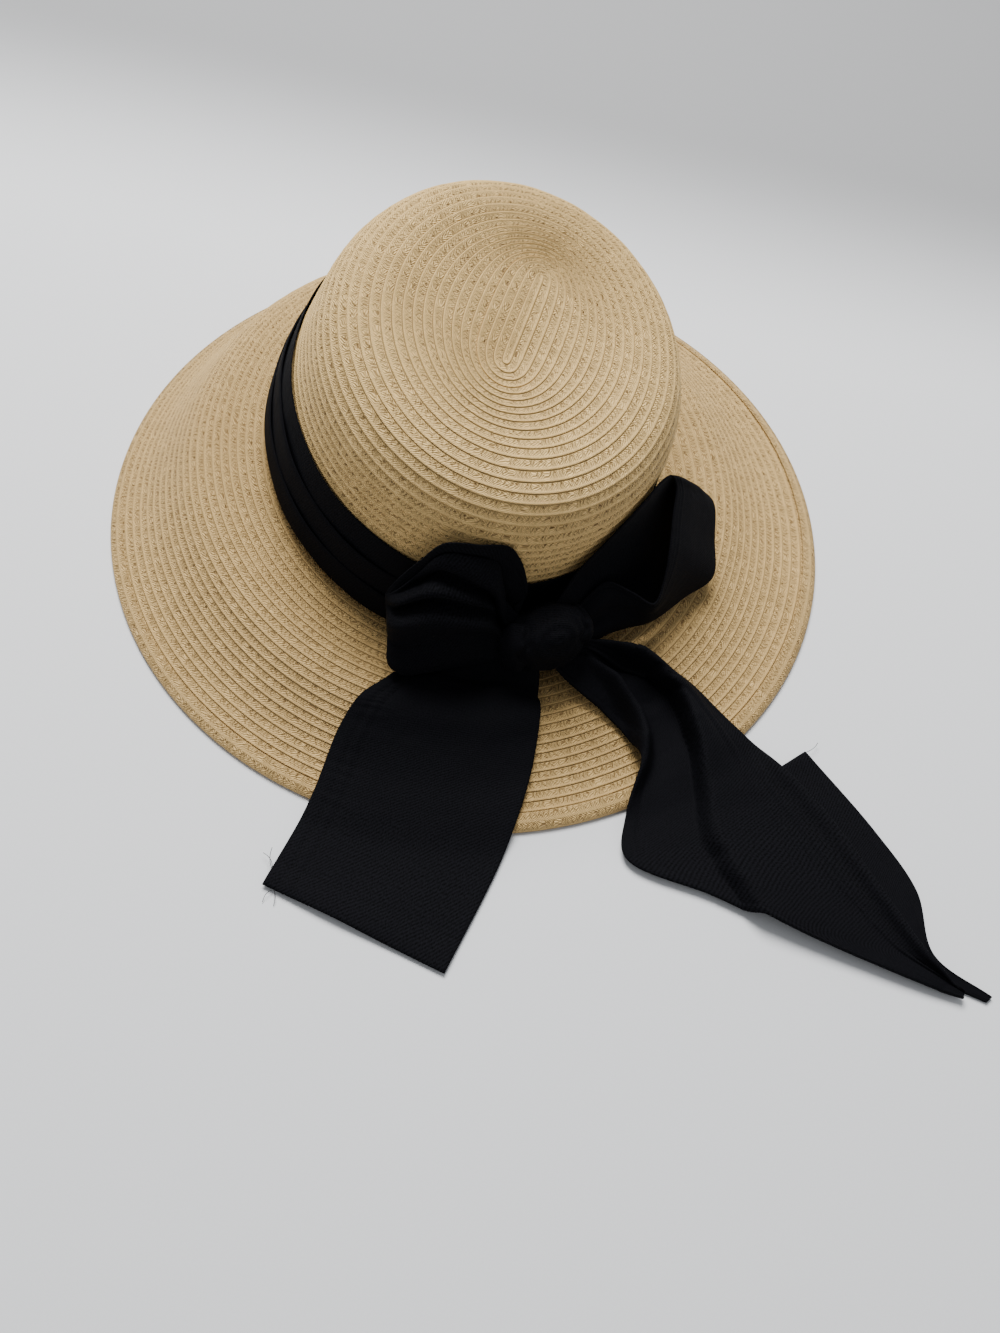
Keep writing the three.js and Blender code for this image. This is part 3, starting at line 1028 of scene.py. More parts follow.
class Body(Enum):
    """The moving bodies of the hat."""

    HAT = "hat"
    LEFT = "left_tail"
    RIGHT = "right_tail"


@dataclass(frozen=True)
class Bend:
    """Where a tail turns from the hat's body to its own."""

    body: Body
    start: Triple
    end: Triple

    def apply(self, made: Object) -> None:
        """Bakes the object's transform into its mesh."""
        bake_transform(made)


LEFT_BEND = Bend(Body.LEFT, (22.3, -122.2, 23.0), (18.6, -137.0, 21.0))
RIGHT_BEND = Bend(Body.RIGHT, (93.1, -88.7, 16.3), (104.7, -96.7, 16.0))


@dataclass
class Piece:
    """One finished piece: its object, the nodes it stands for and its slot."""

    made: Object
    nodes: tuple[str, ...]
    slot: str
    material: Material | None = None
    body: Body = Body.HAT
    bend: Bend | None = None

    def settle(self) -> Object:
        """Paints the piece, ties it to its body or, where it has a bend, bakes its transform, then hides
        the parts it stands for and logs its faces.
        """
        if self.material is not None:
            self.made.data.materials.clear()
            self.made.data.materials.append(self.material)
        if self.bend is not None:
            self.bend.apply(self.made)
        else:
            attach(self.made, self.body.value)
        if self.nodes:
            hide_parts(*self.nodes)
        LOG.info("piece %s: %d faces", self.made.name, len(self.made.data.polygons))
        return self.made


# ---- straw ----

CORE_START = 0.5  # the row coordinate of the middle of the core
CORE_CAP = 0.52  # and of the ring that its closing strip hangs on
FINE = (0.004, 0.10, 0.40, 0.71, 0.79, 0.88, 0.97)
COARSE = (0.004, 0.97)


@dataclass
class Braid:
    """One part of the hat sewn from rows of braid."""

    name: str
    node: str
    slot: str
    rows: tuple[float, float]
    place: Callable[[Array, Array], Array]
    around: int

    def marks(self, shares: Sequence[float]) -> Array:
        """Returns the row coordinate of each ring."""
        first, last = self.rows
        every = [k + f for k in range(int(first), int(math.ceil(last))) for f in shares]
        return np.array([r for r in every if first <= r <= last])

    def normals(self, row: Array, angle: Array) -> Array:
        """Returns the outward normals of the smooth surface."""
        across = self.place(row + 0.25, angle) - self.place(np.maximum(row - 0.25, 0.0), angle)
        round_ = self.place(row, angle + 0.012) - self.place(row, angle - 0.012)
        normal = np.cross(across, round_)
        return normal / np.maximum(np.linalg.norm(normal, axis=-1, keepdims=True), 1e-9)

    def lengths(self, row: Array, angle: Array) -> Array:
        """Returns the distance along each row, with a whole number of holes in a turn."""
        centre = np.floor(row) + 0.5
        points = self.place(centre, angle)
        steps = np.linalg.norm(np.diff(points, axis=1), axis=-1)
        total = np.cumsum(steps, axis=1)
        full = total[:, -1:]
        holes = np.maximum(np.round(full / STITCH), 4.0)
        return np.concatenate([0 * full, total / full * holes * STITCH], axis=1)

    def close_core(self, quads: Array, ri: Array, cj: Array, rings: int) -> tuple[Array, ...]:
        """Swaps the faces between the first and last ring for a strip across each of them."""
        n = self.around
        keep = ~((ri[:, 0] == rings - 1) & (ri[:, 1] == rings))
        step = np.arange(n // 2)
        near = n // 4 - step
        far = n // 4 + step
        columns = np.stack([near, near - 1, far + 1, far], axis=-1)
        top, low = 0 * columns, 0 * columns + rings - 1
        more_rings = np.vstack([top, low])
        more_columns = np.vstack([columns, columns[:, ::-1]]) % n
        more = more_rings * n + more_columns
        pairs = (quads[keep], more), (ri[keep], more_rings), (cj[keep], more_columns)
        return tuple(np.vstack(pair) for pair in pairs)

    def build(self, trees: Trees, finishes: Finishes) -> Piece:
        """Makes the rows on the smooth surface, then raises them with the braid tree."""
        outer, inner = self.marks(FINE), self.marks(COARSE)[::-1]
        if self.rows[0] == CORE_START:
            outer, inner = np.concatenate([[CORE_CAP], outer]), np.concatenate([inner, [CORE_CAP]])
        rows = np.concatenate([outer, inner])
        turn = np.linspace(0.0, TAU, self.around + 1)
        row, angle = np.meshgrid(rows, turn, indexing="ij")
        along = self.lengths(row, angle)
        row_, angle_ = row[:, :-1], angle[:, :-1]
        normal = self.normals(row_, angle_)
        points = self.place(row_, angle_)
        points[len(outer):] -= normal[len(outer):] * STRAW
        skin = np.ones_like(row_)
        skin[len(outer):] = 0.5
        quads, ri, cj = torus_quads(len(rows), self.around)
        if self.rows[0] == CORE_START:
            quads, ri, cj = self.close_core(quads, ri, cj, len(rows))
        ri = ri % len(rows)
        uv = np.stack([along[ri, cj], row[ri, cj]], axis=-1)
        floats = {"row": row_, "skin": skin}
        made = make_object(self.name, points, quads, uv, floats, {"lift": normal})
        # the brim takes the copy of the straw painted darker as shade
        straw = finishes.brim_straw if self.node == "brim" else finishes.straw
        run_tree(made, trees.braid, Step=0.0008, Waver=0.0008, Material=straw)
        face_outwards(made)
        made.data.set_sharp_from_angle(angle=math.radians(62))
        return Piece(made, (self.node,), self.slot)


@dataclass
class BrimEdge:
    """The doubled last row of braid, rolled under at the edge of the brim."""

    around: int = 600

    def build(self, finishes: Finishes) -> Piece:
        """Makes the rolled row as a closed ring."""
        section = [
            (-4.4, 5.9), (-3.0, 5.6), (-1.4, 5.0), (0.0, 4.4), (1.2, 3.7), (2.2, 2.7), (2.65, 1.5),
            (2.3, 0.5), (1.4, 0.05), (0.0, 0.0), (-1.6, 0.0), (-2.6, 0.4), (-2.8, 2.4), (-3.4, 4.6),
            (-4.4, 5.3),
        ]
        shape = np.array(section)
        turn = np.linspace(0.0, TAU, self.around + 1)
        ring, angle = np.meshgrid(np.arange(len(shape)), turn, indexing="ij")
        out = BRIM_OUT + shape[ring, 0]
        points = FORM.oval(out, angle, shape[ring, 1])
        length = np.cumsum(np.linalg.norm(np.diff(points, axis=1), axis=-1), axis=1)
        along = np.concatenate([0 * length[:, :1], length / length[:, -1:] * 210 * STITCH], axis=1)
        quads, ri, cj = torus_quads(len(shape), self.around)
        steps = np.linalg.norm(np.diff(shape, axis=0, append=shape[:1]), axis=1)
        across = np.concatenate([[0.0], np.cumsum(steps)]) / ROW + 0.05
        uv = np.stack([along[ri % len(shape), cj], across[ri]], axis=-1)
        made = make_object("braid_edge", points[:, :-1], quads, uv)
        face_outwards(made)
        # the edge row takes the brim's straw, painted darker as shade
        return Piece(made, ("brim_edge",), "straw_edge", finishes.brim_straw)


# ---- linings and band ----


def wall_ring(
    name: str,
    path: Sequence[tuple[float, float]],
    half: float,
    around: int,
    sway: Callable[[Array, Array], tuple[Array, Array]],
) -> Object:
    """Makes a thin sheet that runs round the crown wall.

    Args:
        name: object name.
        path: (height above the head line, distance off the wall) down the middle of the sheet.
        half: half the thickness.
        around: points round the crown.
        sway: height and distance added at (share of the path, angle).
    Returns:
        the object.
    """
    curve = Spline([(h, o, 0.0) for h, o in path])
    share = np.linspace(0.0, 1.0, 8 * len(path))
    middle = curve.at(share)[:, :2]
    ahead = np.gradient(middle, axis=0)
    side = np.stack([-ahead[:, 1], ahead[:, 0]], axis=-1)
    side /= np.maximum(np.linalg.norm(side, axis=-1, keepdims=True), 1e-9)
    section = np.vstack([middle + side * half, (middle - side * half)[::-1]])
    shares = np.concatenate([share, share[::-1]])
    turn = np.linspace(0.0, TAU, around + 1)
    ring, angle = np.meshgrid(np.arange(len(section)), turn, indexing="ij")
    rise, off = sway(shares[ring], angle)
    point, normal = FORM.wall(section[ring, 0] + rise, angle)
    points = point + normal * (section[ring, 1] + off)[..., None]
    quads, ri, cj = torus_quads(len(section), around)
    ri = ri % len(section)
    uv = np.stack([cj / around * 0.6, shares[ri] * curve.length * MM], axis=-1)
    made = make_object(name, points[:, :-1], quads, uv)
    face_outwards(made)
    return made


@dataclass
class Sweatband:
    """The cloth tape sewn inside the head opening."""

    def build(self, finishes: Finishes) -> Piece:
        """Makes the tape."""
        path = [(height, -TAPE_INSIDE) for height in (28, 20, 10, 1.2)]

        def sway(share: Array, angle: Array) -> tuple[Array, Array]:
            """Returns a slight pucker towards the free edge."""
            loose = 1.0 - share
            return 0.5 * loose * np.sin(angle * 9), -0.25 * loose * (1 + np.sin(angle * 23 + 1))

        made = wall_ring("sweat_tape", path, 0.35, 360, sway)
        return Piece(made, ("sweatband",), "lining", finishes.lining)


@dataclass
class HatBand:
    """The sash folded lengthwise into three laps round the crown."""

    low: float = 2.6

    def path(self) -> list[tuple[float, float]]:
        """Returns the folded width of the sash from its upper edge to its turned-in lower edge."""
        folds = [
            (41, 0.95), (34, 1.1), (27, 1.2), (21.2, 1.25), (20.4, 1.5), (21.2, 1.75), (26.2, 1.85),
            (27.1, 2.15), (26.2, 2.45), (20, 2.45), (13, 2.35), (8.2, 2.25), (7.4, 2.5), (8.2, 2.75),
            (13, 2.85), (13.9, 3.15), (13, 3.45), (8, 3.5), (3, 3.25), (0.7, 2.6), (0.1, 1.9),
            (0.8, 1.2), (5, 0.95), (15.5, 0.9),
        ]
        return [(self.low + h, o) for h, o in folds]

    def build(self, finishes: Finishes) -> Piece:
        """Makes the band."""

        def sway(share: Array, angle: Array) -> tuple[Array, Array]:
            """Returns the soft wander of the laps round the crown."""
            wave = 0.7 * np.sin(2 * angle + 0.8) + 0.35 * np.sin(5 * angle + 7 * share)
            pull = 0.22 * (1 + np.sin(11 * angle + 9 * share))
            return wave * smooth(0.0, 0.2, share) * smooth(1.0, 0.9, share), pull

        made = wall_ring("sash_band", self.path(), 0.21, 420, sway)
        return Piece(made, ("hat_band",), "sash", finishes.sash)


# ---- bow ----


def between(first: Spline, second: Spline, u: Array, v: Array) -> Array:
    """Returns points between two edge curves."""
    a, b = first.at(u), second.at(u)
    return a + (b - a) * v[..., None]


@dataclass
class Loop:
    """One loop of the bow: a strip on its edge that runs out from the knot and back."""

    name: str
    node: str
    upper: Sequence[Triple]
    lower: Sequence[Triple]
    puff: Callable[[Array, Array], Array]
    size: tuple[float, float]

    def surface(self, u: Array, v: Array) -> Array:
        """Returns the middle of the cloth with its folds."""
        top, foot = Spline(self.upper), Spline(self.lower)
        point = between(top, foot, u, v)
        d = 0.01
        ahead = between(top, foot, np.minimum(u + d, 1), v) - between(top, foot, np.maximum(u - d, 0), v)
        normal = np.cross(foot.at(u) - top.at(u), ahead)
        normal /= np.maximum(np.linalg.norm(normal, axis=-1, keepdims=True), 1e-9)
        return point + normal * self.puff(u, v)[..., None]

    def build(self, finishes: Finishes) -> Piece:
        """Makes the loop as a closed sheet."""

        def relief(u: Array, v: Array) -> Array:
            """Returns the seam along the upper edge."""
            return 0.3 * (bump(v, 0.09, 0.02) + bump(v, 0.15, 0.015)) - 0.25 * bump(v, 0.12, 0.012)

        made = sheet_object(self.name, self.surface, self.size, (150, 48), 1.1, relief)
        return Piece(made, (self.node,), "sash", finishes.sash)


def left_puff(u: Array, v: Array) -> Array:
    """Returns the fullness of the left loop, with folds that fan out from the knot."""
    front = smooth(0.52, 0.62, u)
    middle = np.sin(math.pi * np.clip((u - 0.5) / 0.5, 0.0, 1.0))
    full = front * middle * (5.5 * np.sin(math.pi * v) + 1.5 * np.sin(TAU * v))
    fan = np.clip((u - 0.5) / 0.5, 0.0, 1.0)
    first = -9.0 * bump(v, -0.10 + 0.68 * fan, 0.060) + 4.0 * bump(v, 0.06 + 0.56 * fan, 0.07)
    second = -8.5 * bump(v, 0.16 + 0.46 * fan, 0.060) + 3.0 * bump(v, 0.38 + 0.27 * fan, 0.08)
    third = -2.5 * bump(v, 0.68, 0.06) + 2.4 * bump(v, 0.93, 0.05)
    fine = 0.5 * np.sin(TAU * (6.5 * v - 1.5 * u)) * smooth(0.6, 0.95, u)
    reach = front * smooth(0.50, 0.64, u) * smooth(1.0, 0.90, u)
    hold = np.clip(np.sin(math.pi * np.clip(v, 0.0, 1.0)) * 2.2, 0.0, 1.0)
    return full + (first + second + third + fine) * reach * hold


def right_puff(u: Array, v: Array) -> Array:
    """Returns the fullness of the right loop."""
    near = smooth(0.45, 0.0, u)
    far = smooth(0.65, 1.0, u)
    sag = 4.5 * np.sin(math.pi * v) * smooth(0.0, 0.2, u) * smooth(0.46, 0.34, u)
    folds = -(0.8 * near + 1.3 * far) * np.sin(TAU * (1.9 * v - 0.5 * u) + 0.4)
    return (-sag + folds) * smooth(0.0, 0.08, u) * smooth(1.0, 0.94, u)


@dataclass
class Knot:
    """The wrap of sash round the middle of the bow."""

    size: Triple = (23.0, 13.5, 18.0)
    centre: Triple = (50.0, -93.5, 38.5)
    turn: float = math.radians(40)
    square: float = 0.8

    def build(self, finishes: Finishes) -> Piece:
        """Makes the knot: a squat barrel with creases that run round it."""
        rings, columns = 96, 150
        theta = np.linspace(0.012, math.pi - 0.012, rings)
        phi = np.linspace(0.0, TAU, columns + 1)[:-1]
        th, ph = np.meshgrid(theta, phi, indexing="ij")
        x, y, z = np.cos(th), np.sin(th) * np.cos(ph), np.sin(th) * np.sin(ph)
        round_off = np.stack([x, y, z], axis=-1)
        base = np.array(self.size) * np.sign(round_off) * np.abs(round_off) ** self.square
        base[..., 1] -= 0.12 * (base[..., 2] - 4)
        turn = ph - 0.75 * math.pi
        turn = (turn + math.pi) % TAU - math.pi
        warp = x + 0.10 * np.sin(3 * ph) + 0.05 * np.sin(7 * ph + 1)
        ringed = np.hypot(1.25 * x, 0.62 * np.sin(turn / 2) * 2)
        crease = 0.42 * np.sin(20.0 * ringed + 2.0 * x) + 0.7 * np.sin(7.0 * warp + 0.7)
        pinch = -2.6 * bump(warp, -0.55, 0.10) - 2.0 * bump(warp, 0.62, 0.09)
        outward = np.stack([0.15 * x, y, z], axis=-1)
        outward /= np.maximum(np.linalg.norm(outward, axis=-1, keepdims=True), 0.05)
        points = base + outward * ((crease + pinch) * np.sin(th) ** 0.7)[..., None]
        c, s = math.cos(self.turn), math.sin(self.turn)
        px, py, pz = points[..., 0], points[..., 1], points[..., 2]
        spun = np.stack([c * px - s * py, s * px + c * py, pz], axis=-1) + np.array(self.centre)
        place = np.stack([ph * 14.0, th * 20.0], axis=-1) * MM
        made = tube_object("sash_knot", spun, place, roll=-1)
        return Piece(made, ("bow_knot",), "sash", finishes.sash)


# ---- tails ----


@dataclass
class Tail:
    """A long end of the sash that lies over the brim and the floor."""

    name: str
    nodes: tuple[str, ...]
    left: Sequence[Triple]
    right: Sequence[Triple]
    size: tuple[float, float]
    rise: Callable[[Array, Array], Array]
    relief: Callable[[Array, Array], Array]
    counts: tuple[int, int] = (170, 64)
    neck: int = 0
    on_floor: bool = False
    body: Body = Body.HAT
    bend: Bend | None = None

    def __post_init__(self) -> None:
        """Builds the two edge curves; the first knots of each give their height, the others their lift."""
        self.edges = Spline(self.lifted(self.left)), Spline(self.lifted(self.right))

    def lifted(self, knots: Sequence[Triple]) -> Array:
        """Returns knots whose last number is the lift above what lies under them."""
        points = np.array(knots, float)
        n = self.neck
        points[:n, 2] -= FORM.drape(points[:n, 0], points[:n, 1]) + SHEET / 2
        return points

    def surface(self, u: Array, v: Array) -> Array:
        """Returns the middle of the cloth."""
        point = between(*self.edges, u, v)
        under = 0.0 if self.on_floor else FORM.drape(point[..., 0], point[..., 1])
        point[..., 2] = np.maximum(point[..., 2] + self.rise(u, v), 0.1) + under + SHEET / 2
        return point

    def line(self, u: Array, v: Array) -> Array:
        """Returns points on the upper face of the cloth."""
        points = self.surface(u, v)
        points[..., 2] += SHEET / 2 + self.relief(u, v) + 0.05
        return points

    def build(self, finishes: Finishes) -> Piece:
        """Makes the tail as a closed sheet."""
        made = sheet_object(self.name, self.surface, self.size, self.counts, SHEET, self.relief)
        return Piece(made, self.nodes, "sash", finishes.sash, self.body, self.bend)


def left_rise(u: Array, v: Array) -> Array:
    """Returns the soft folds of the left tail below the knot."""
    high = smooth(0.75, 0.3, u) * smooth(0.0, 0.15, u)
    folds = 1.2 * np.sin(TAU * (1.6 * v - 0.5 * u) + 0.5) * high
    hem = 1.6 * smooth(0.93, 1.0, u) * bump(v, 0.38, 0.25)
    return np.maximum(folds + 0.5, -0.2) + hem


def left_relief(u: Array, v: Array) -> Array:
    """Returns the double seam inside the left edge and the hem of the left tail."""
    side = 0.32 * (bump(v, 0.055, 0.03) + bump(v, 0.118, 0.022))
    side -= 0.3 * (bump(v, 0.088, 0.007) + bump(v, 0.148, 0.007))
    hem = 0.4 * bump(u, 0.985, 0.012) - 0.35 * bump(u, 0.962, 0.005)
    pucker = 0.16 * np.sin(u * 150 + 8 * np.sin(u * 23)) * bump(v, 0.10, 0.07)
    return side + hem + pucker


RIM_LINE = ([0.10, 0.17, 0.34, 0.42, 0.48, 0.56], [0.55, 0.46, 0.21, 0.09, 0.0, -0.12])
TROUGH_LINE = ([0.10, 0.21, 0.29, 0.39, 0.48, 0.54, 0.62], [0.72, 0.68, 0.62, 0.46, 0.30, 0.20, 0.08])
FOLD_LINE = (
    [0.10, 0.18, 0.34, 0.44, 0.52, 0.57, 0.66, 0.71, 0.78, 0.85],
    [1.0, 0.95, 0.79, 0.62, 0.53, 0.49, 0.41, 0.26, 0.0, -0.25],
)


def right_rise(u: Array, v: Array) -> Array:
    """Returns the rolled left edge, the hollow and the diagonal fold of the right tail."""
    crest, trough, fold = (np.interp(u, *line) for line in (RIM_LINE, TROUGH_LINE, FOLD_LINE))
    rim = np.interp(u, [0.06, 0.2, 0.42, 0.50, 0.62], [0.0, 9.0, 13.0, 7.0, 0.0]) * bump(v, crest, 0.085)
    sink = np.interp(u, [0.05, 0.15, 0.25, 0.36], [0.0, 5.0, 4.0, 0.0]) * bump(v, trough, 0.13)
    lift = np.interp(u, [0.06, 0.2, 0.44, 0.6, 0.78, 0.92], [0.0, 12.0, 15.0, 8.0, 5.5, 0.0])
    panel = lift * smooth(fold - 0.07, fold + 0.01, v) * (1.0 - 0.8 * smooth(fold + 0.02, 1.05, v))
    edge = 4.0 * smooth(0.86, 1.0, v) * smooth(0.46, 0.58, u) * smooth(0.98, 0.85, u)
    return rim - sink + panel + edge + 0.2


def right_relief(u: Array, v: Array) -> Array:
    """Returns the double seam inside the right edge of the right tail."""
    w = 1.0 - v
    side = 0.7 * (bump(w, 0.03, 0.03) + bump(w, 0.20, 0.03))
    side -= 0.6 * (bump(w, 0.155, 0.014) + bump(w, 0.245, 0.014))
    edge = 0.3 * bump(v, 0.05, 0.025) - 0.28 * bump(v, 0.085, 0.008)
    return side + edge


def end_rise(u: Array, v: Array) -> Array:
    """Returns the slight lift of the turned-back end."""
    return 0.5 * np.sin(math.pi * u) * v + 0 * u


def end_relief(u: Array, v: Array) -> Array:
    """Returns the seam along the outer edge of the turned-back end."""
    return 0.3 * bump(v, 0.93, 0.03) - 0.3 * bump(v, 0.88, 0.01) + 0.25 * bump(u, 0.02, 0.012)


LEFT_TAIL = Tail(
    "sash_tail_left",
    ("tail_left_root", "tail_left"),
    [(26, -104, 32), (4, -118, 1.5), (-10, -127, 1.5), (-14.1, -133.3, 1.2), (-22, -146, 1.2),
     (-26, -160, 1.2), (-27, -190, 0.6), (-32, -236, 0.5)],
    [(50, -99, 32), (54, -108, 2.5), (55, -113, 1.2), (57.05, -116.3, 1.2), (61, -134, 1.2),
     (63, -155, 1.2), (62, -190, 0.6), (54, -249, 0.5)],
    (165.0, 86.0), left_rise, left_relief, neck=1, body=Body.LEFT, bend=LEFT_BEND,
)
RIGHT_TAIL = Tail(
    "sash_tail_right",
    ("tail_right_root", "tail_right"),
    [(52, -98, 31), (65, -102.5, 24.5), (78, -105.5, 18.8), (84.3, -106.4, 1.0), (98, -112, 0.8),
     (108, -124, 1.2), (109, -150, 2.6), (114, -171, 2.6), (156, -176, 2.6), (196, -182, 2.6),
     (258, -187, 2.6), (270, -187, 2.6)],
    [(60, -86, 37), (77, -79, 30), (93, -75.5, 20.5), (106.3, -74.4, 1.2), (124, -77, 1.2),
     (142, -86, 1.2), (171, -101, 2.6), (199, -121, 2.6), (229, -151, 2.6), (250, -172, 2.6),
     (262, -180, 2.6), (270, -184, 2.6)],
    (260.0, 60.0), right_rise, right_relief, (230, 64), 3, body=Body.RIGHT, bend=RIGHT_BEND,
)
RIGHT_END = Tail(
    "sash_tail_end",
    ("tail_right_end",),
    [(136, -146, 0.4), (170, -160, 0.4), (215, -172, 0.4), (250, -180, 0.4), (281, -184, 0.4)],
    [(184, -84, 0.4), (223, -117, 0.4), (245, -141, 0.4), (256, -170, 0.4), (283, -181, 0.4)],
    (150.0, 60.0), end_rise, end_relief, (120, 48), on_floor=True, body=Body.RIGHT,
)


@dataclass
class Seams:
    """Running stitches and loose threads of one tail."""

    name: str
    tail: Tail
    lines: Sequence[tuple[tuple[float, float], tuple[float, float]]]
    frays: Sequence[tuple[Triple, Triple, float]] = ()

    def build(self, trees: Trees, finishes: Finishes) -> list[Piece]:
        """Makes the stitches, and the frays where the tail has some."""
        share = np.linspace(0.0, 1.0, 90)
        paths = []
        for (u0, v0), (u1, v1) in self.lines:
            paths.append(self.tail.line(u0 + (u1 - u0) * share, v0 + (v1 - v0) * share))
        stitches = path_object(self.name + "_stitches", paths)
        thread = finishes.black_thread
        run_tree(stitches, trees.stitch, Pitch=0.0032, Length=0.0024, Radius=0.00016, Material=thread)
        pieces = [Piece(stitches, (), "sash", None, self.tail.body, self.tail.bend)]
        if self.frays:
            loose = path_object(self.name + "_frays", [self.thread(*given) for given in self.frays])
            run_tree(loose, trees.fray, Radius=0.00012, Material=thread)
            pieces.append(Piece(loose, (), "sash", None, self.tail.body, self.tail.bend))
        return pieces

    @staticmethod
    def thread(start: Triple, end: Triple, sag: float) -> Array:
        """Returns a bent thread from start to end."""
        t = np.linspace(0.0, 1.0, 14)[:, None]
        a, b = np.array(start), np.array(end)
        side = np.cross(b - a, (0.0, 0.0, 1.0))
        side /= max(np.linalg.norm(side), 1e-6)
        arch = np.sin(math.pi * t)
        return a + (b - a) * t + side * sag * arch + np.array([0, 0, 0.6]) * arch


@dataclass
class Tack:
    """The pale stitches that hold the band's upper edge to the straw."""

    def build(self, trees: Trees, finishes: Finishes) -> Piece:
        """Makes three short bars of thread."""
        low, high = (np.array(c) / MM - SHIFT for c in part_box("band_tack"))
        middle = (low + high) / 2
        bar = (-1.1, 0.1, -0.25), (0, -0.15, 0), (1.1, 0.1, 0.25)
        bars = []
        for i in range(3):
            offset = np.array([(i - 1) * 0.5, -0.2, (i - 1) * 0.28])
            bars.append([middle + offset + np.array(knot) for knot in bar])
        made = path_object("band_tack_thread", bars)
        run_tree(made, trees.fray, Radius=0.00028, Material=finishes.pale_thread)
        return Piece(made, ("band_tack",), "thread")


# ---- stage ----


@dataclass(frozen=True)
class Stage:
    """Camera, light and floor."""

    camera_at: Triple = (77.557, -483.925, 551.646)
    forward: Triple = (-0.06708, 0.58131, -0.81091)
    roll: float = math.radians(11.808)
    lens: float = 50.4
    near_floor: Triple = (0.72, 0.725, 0.735)
    # colour of the painted shade on the floor far behind the hat
    far_floor_painted_shade: Triple = (0.29, 0.29, 0.293)
    fleck: Triple = (0.4, 0.4, 0.42)
    floor_half: float = 3.0
    surround: Triple = (0.93, 0.96, 1.0)
    surround_strength: float = 0.46
    light_at: Triple = (-0.45, 0.75, 1.5)
    light_size: float = 1.1
    light_power: float = 62.0

    def camera(self) -> None:
        """Makes the camera and sets it as the scene's."""
        data = bpy.data.cameras.new("view")
        data.sensor_fit = "HORIZONTAL"
        data.sensor_width = 36.0
        data.lens = self.lens
        data.clip_start, data.clip_end = 0.01, 20.0
        made = bpy.data.objects.new("view", data)
        bpy.context.scene.collection.objects.link(made)
        ahead = Vector(self.forward).normalized()
        right = ahead.cross(Vector((0, 0, 1))).normalized()
        up = right.cross(ahead)
        turned = right * math.cos(self.roll) + up * math.sin(self.roll)
        upright = up * math.cos(self.roll) - right * math.sin(self.roll)
        matrix = Matrix((turned, upright, -ahead)).transposed().to_4x4()
        matrix.translation = Vector((np.array(self.camera_at) + SHIFT) * MM)
        made.matrix_world = matrix
        bpy.context.scene.camera = made

    def light(self) -> None:
        """Adds a soft round light that faces the hat."""
        data = bpy.data.lights.new("light_top", "AREA")
        data.shape = "DISK"
        data.size = self.light_size
        data.energy = self.light_power
        made = bpy.data.objects.new("light_top", data)
        made.location = self.light_at
        made.rotation_euler = (-Vector(self.light_at)).to_track_quat("-Z", "Y").to_euler()
        bpy.context.scene.collection.objects.link(made)

    def floor(self) -> None:
        """Makes the pale floor, with painted shade that darkens it far behind the hat."""
        mesh = bpy.data.meshes.new("floor")
        s = self.floor_half
        mesh.from_pydata([(-s, -s, 0), (s, -s, 0), (s, s, 0), (-s, s, 0)], [], [(0, 1, 2, 3)])
        made = bpy.data.objects.new("floor", mesh)
        bpy.context.scene.collection.objects.link(made)
        material, tree, shader = new_material("floor_pale", self.near_floor, 0.6)
        split = tree.add("ShaderNodeSeparateXYZ")
        place = tree.add("ShaderNodeTexCoord").outputs["Object"]
        tree.link(place, split.inputs[0])
        # painted shade: the floor colour darkens towards the far side behind the hat
        far = tree.plus(split.outputs[1], tree.times(split.outputs[0], -0.12))
        shade = tree.ramp(far, 0.20, 0.42)
        floor_with_shade = tree.mix(shade, (*self.near_floor, 1), (*self.far_floor_painted_shade, 1))
        speck = tree.ramp(tree.noise(place, 900.0, 2.0), 0.3, 0.7, (0.0, 0.035))
        tree.link(tree.mix(speck, floor_with_shade, (*self.fleck, 1)), shader.inputs["Base Color"])
        shader.inputs["Specular IOR Level"].default_value = 0.2
        mesh.materials.append(material)

    def world(self) -> None:
        """Sets an even soft surround."""
        world = bpy.data.worlds.new("surround")
        bpy.context.scene.world = world
        world.use_nodes = True
        back = world.node_tree.nodes["Background"]
        back.inputs["Color"].default_value = (*self.surround, 1.0)
        back.inputs["Strength"].default_value = self.surround_strength

    def build(self) -> None:
        """Sets the whole stage."""
        self.camera()
        self.world()
        self.floor()
        self.light()


def braids() -> list[Braid]:
    """Returns the parts of the hat sewn from rows of braid."""
    crown_end = float(FORM.crown_rows[-1])
    reach = BRIM_OUT - EDGE_ROW / 2 - EDGE_GAP
    brim_end = float(np.interp(reach, FORM.brim.along(FORM.table)[:, 0], FORM.brim_rows))
    return [
        Braid("braid_core", "crown_core", "straw_core", (CORE_START, CORE_ROWS), FORM.crown_row, 420),
        Braid("braid_top", "crown_top", "straw_top", (CORE_ROWS, TOP_ROWS), FORM.crown_row, 560),
        Braid("braid_wall", "crown_wall", "straw_wall", (TOP_ROWS, crown_end), FORM.crown_row, 520),
        Braid("braid_brim", "brim", "straw_brim", (0.0, brim_end), FORM.brim_row, 540),
    ]


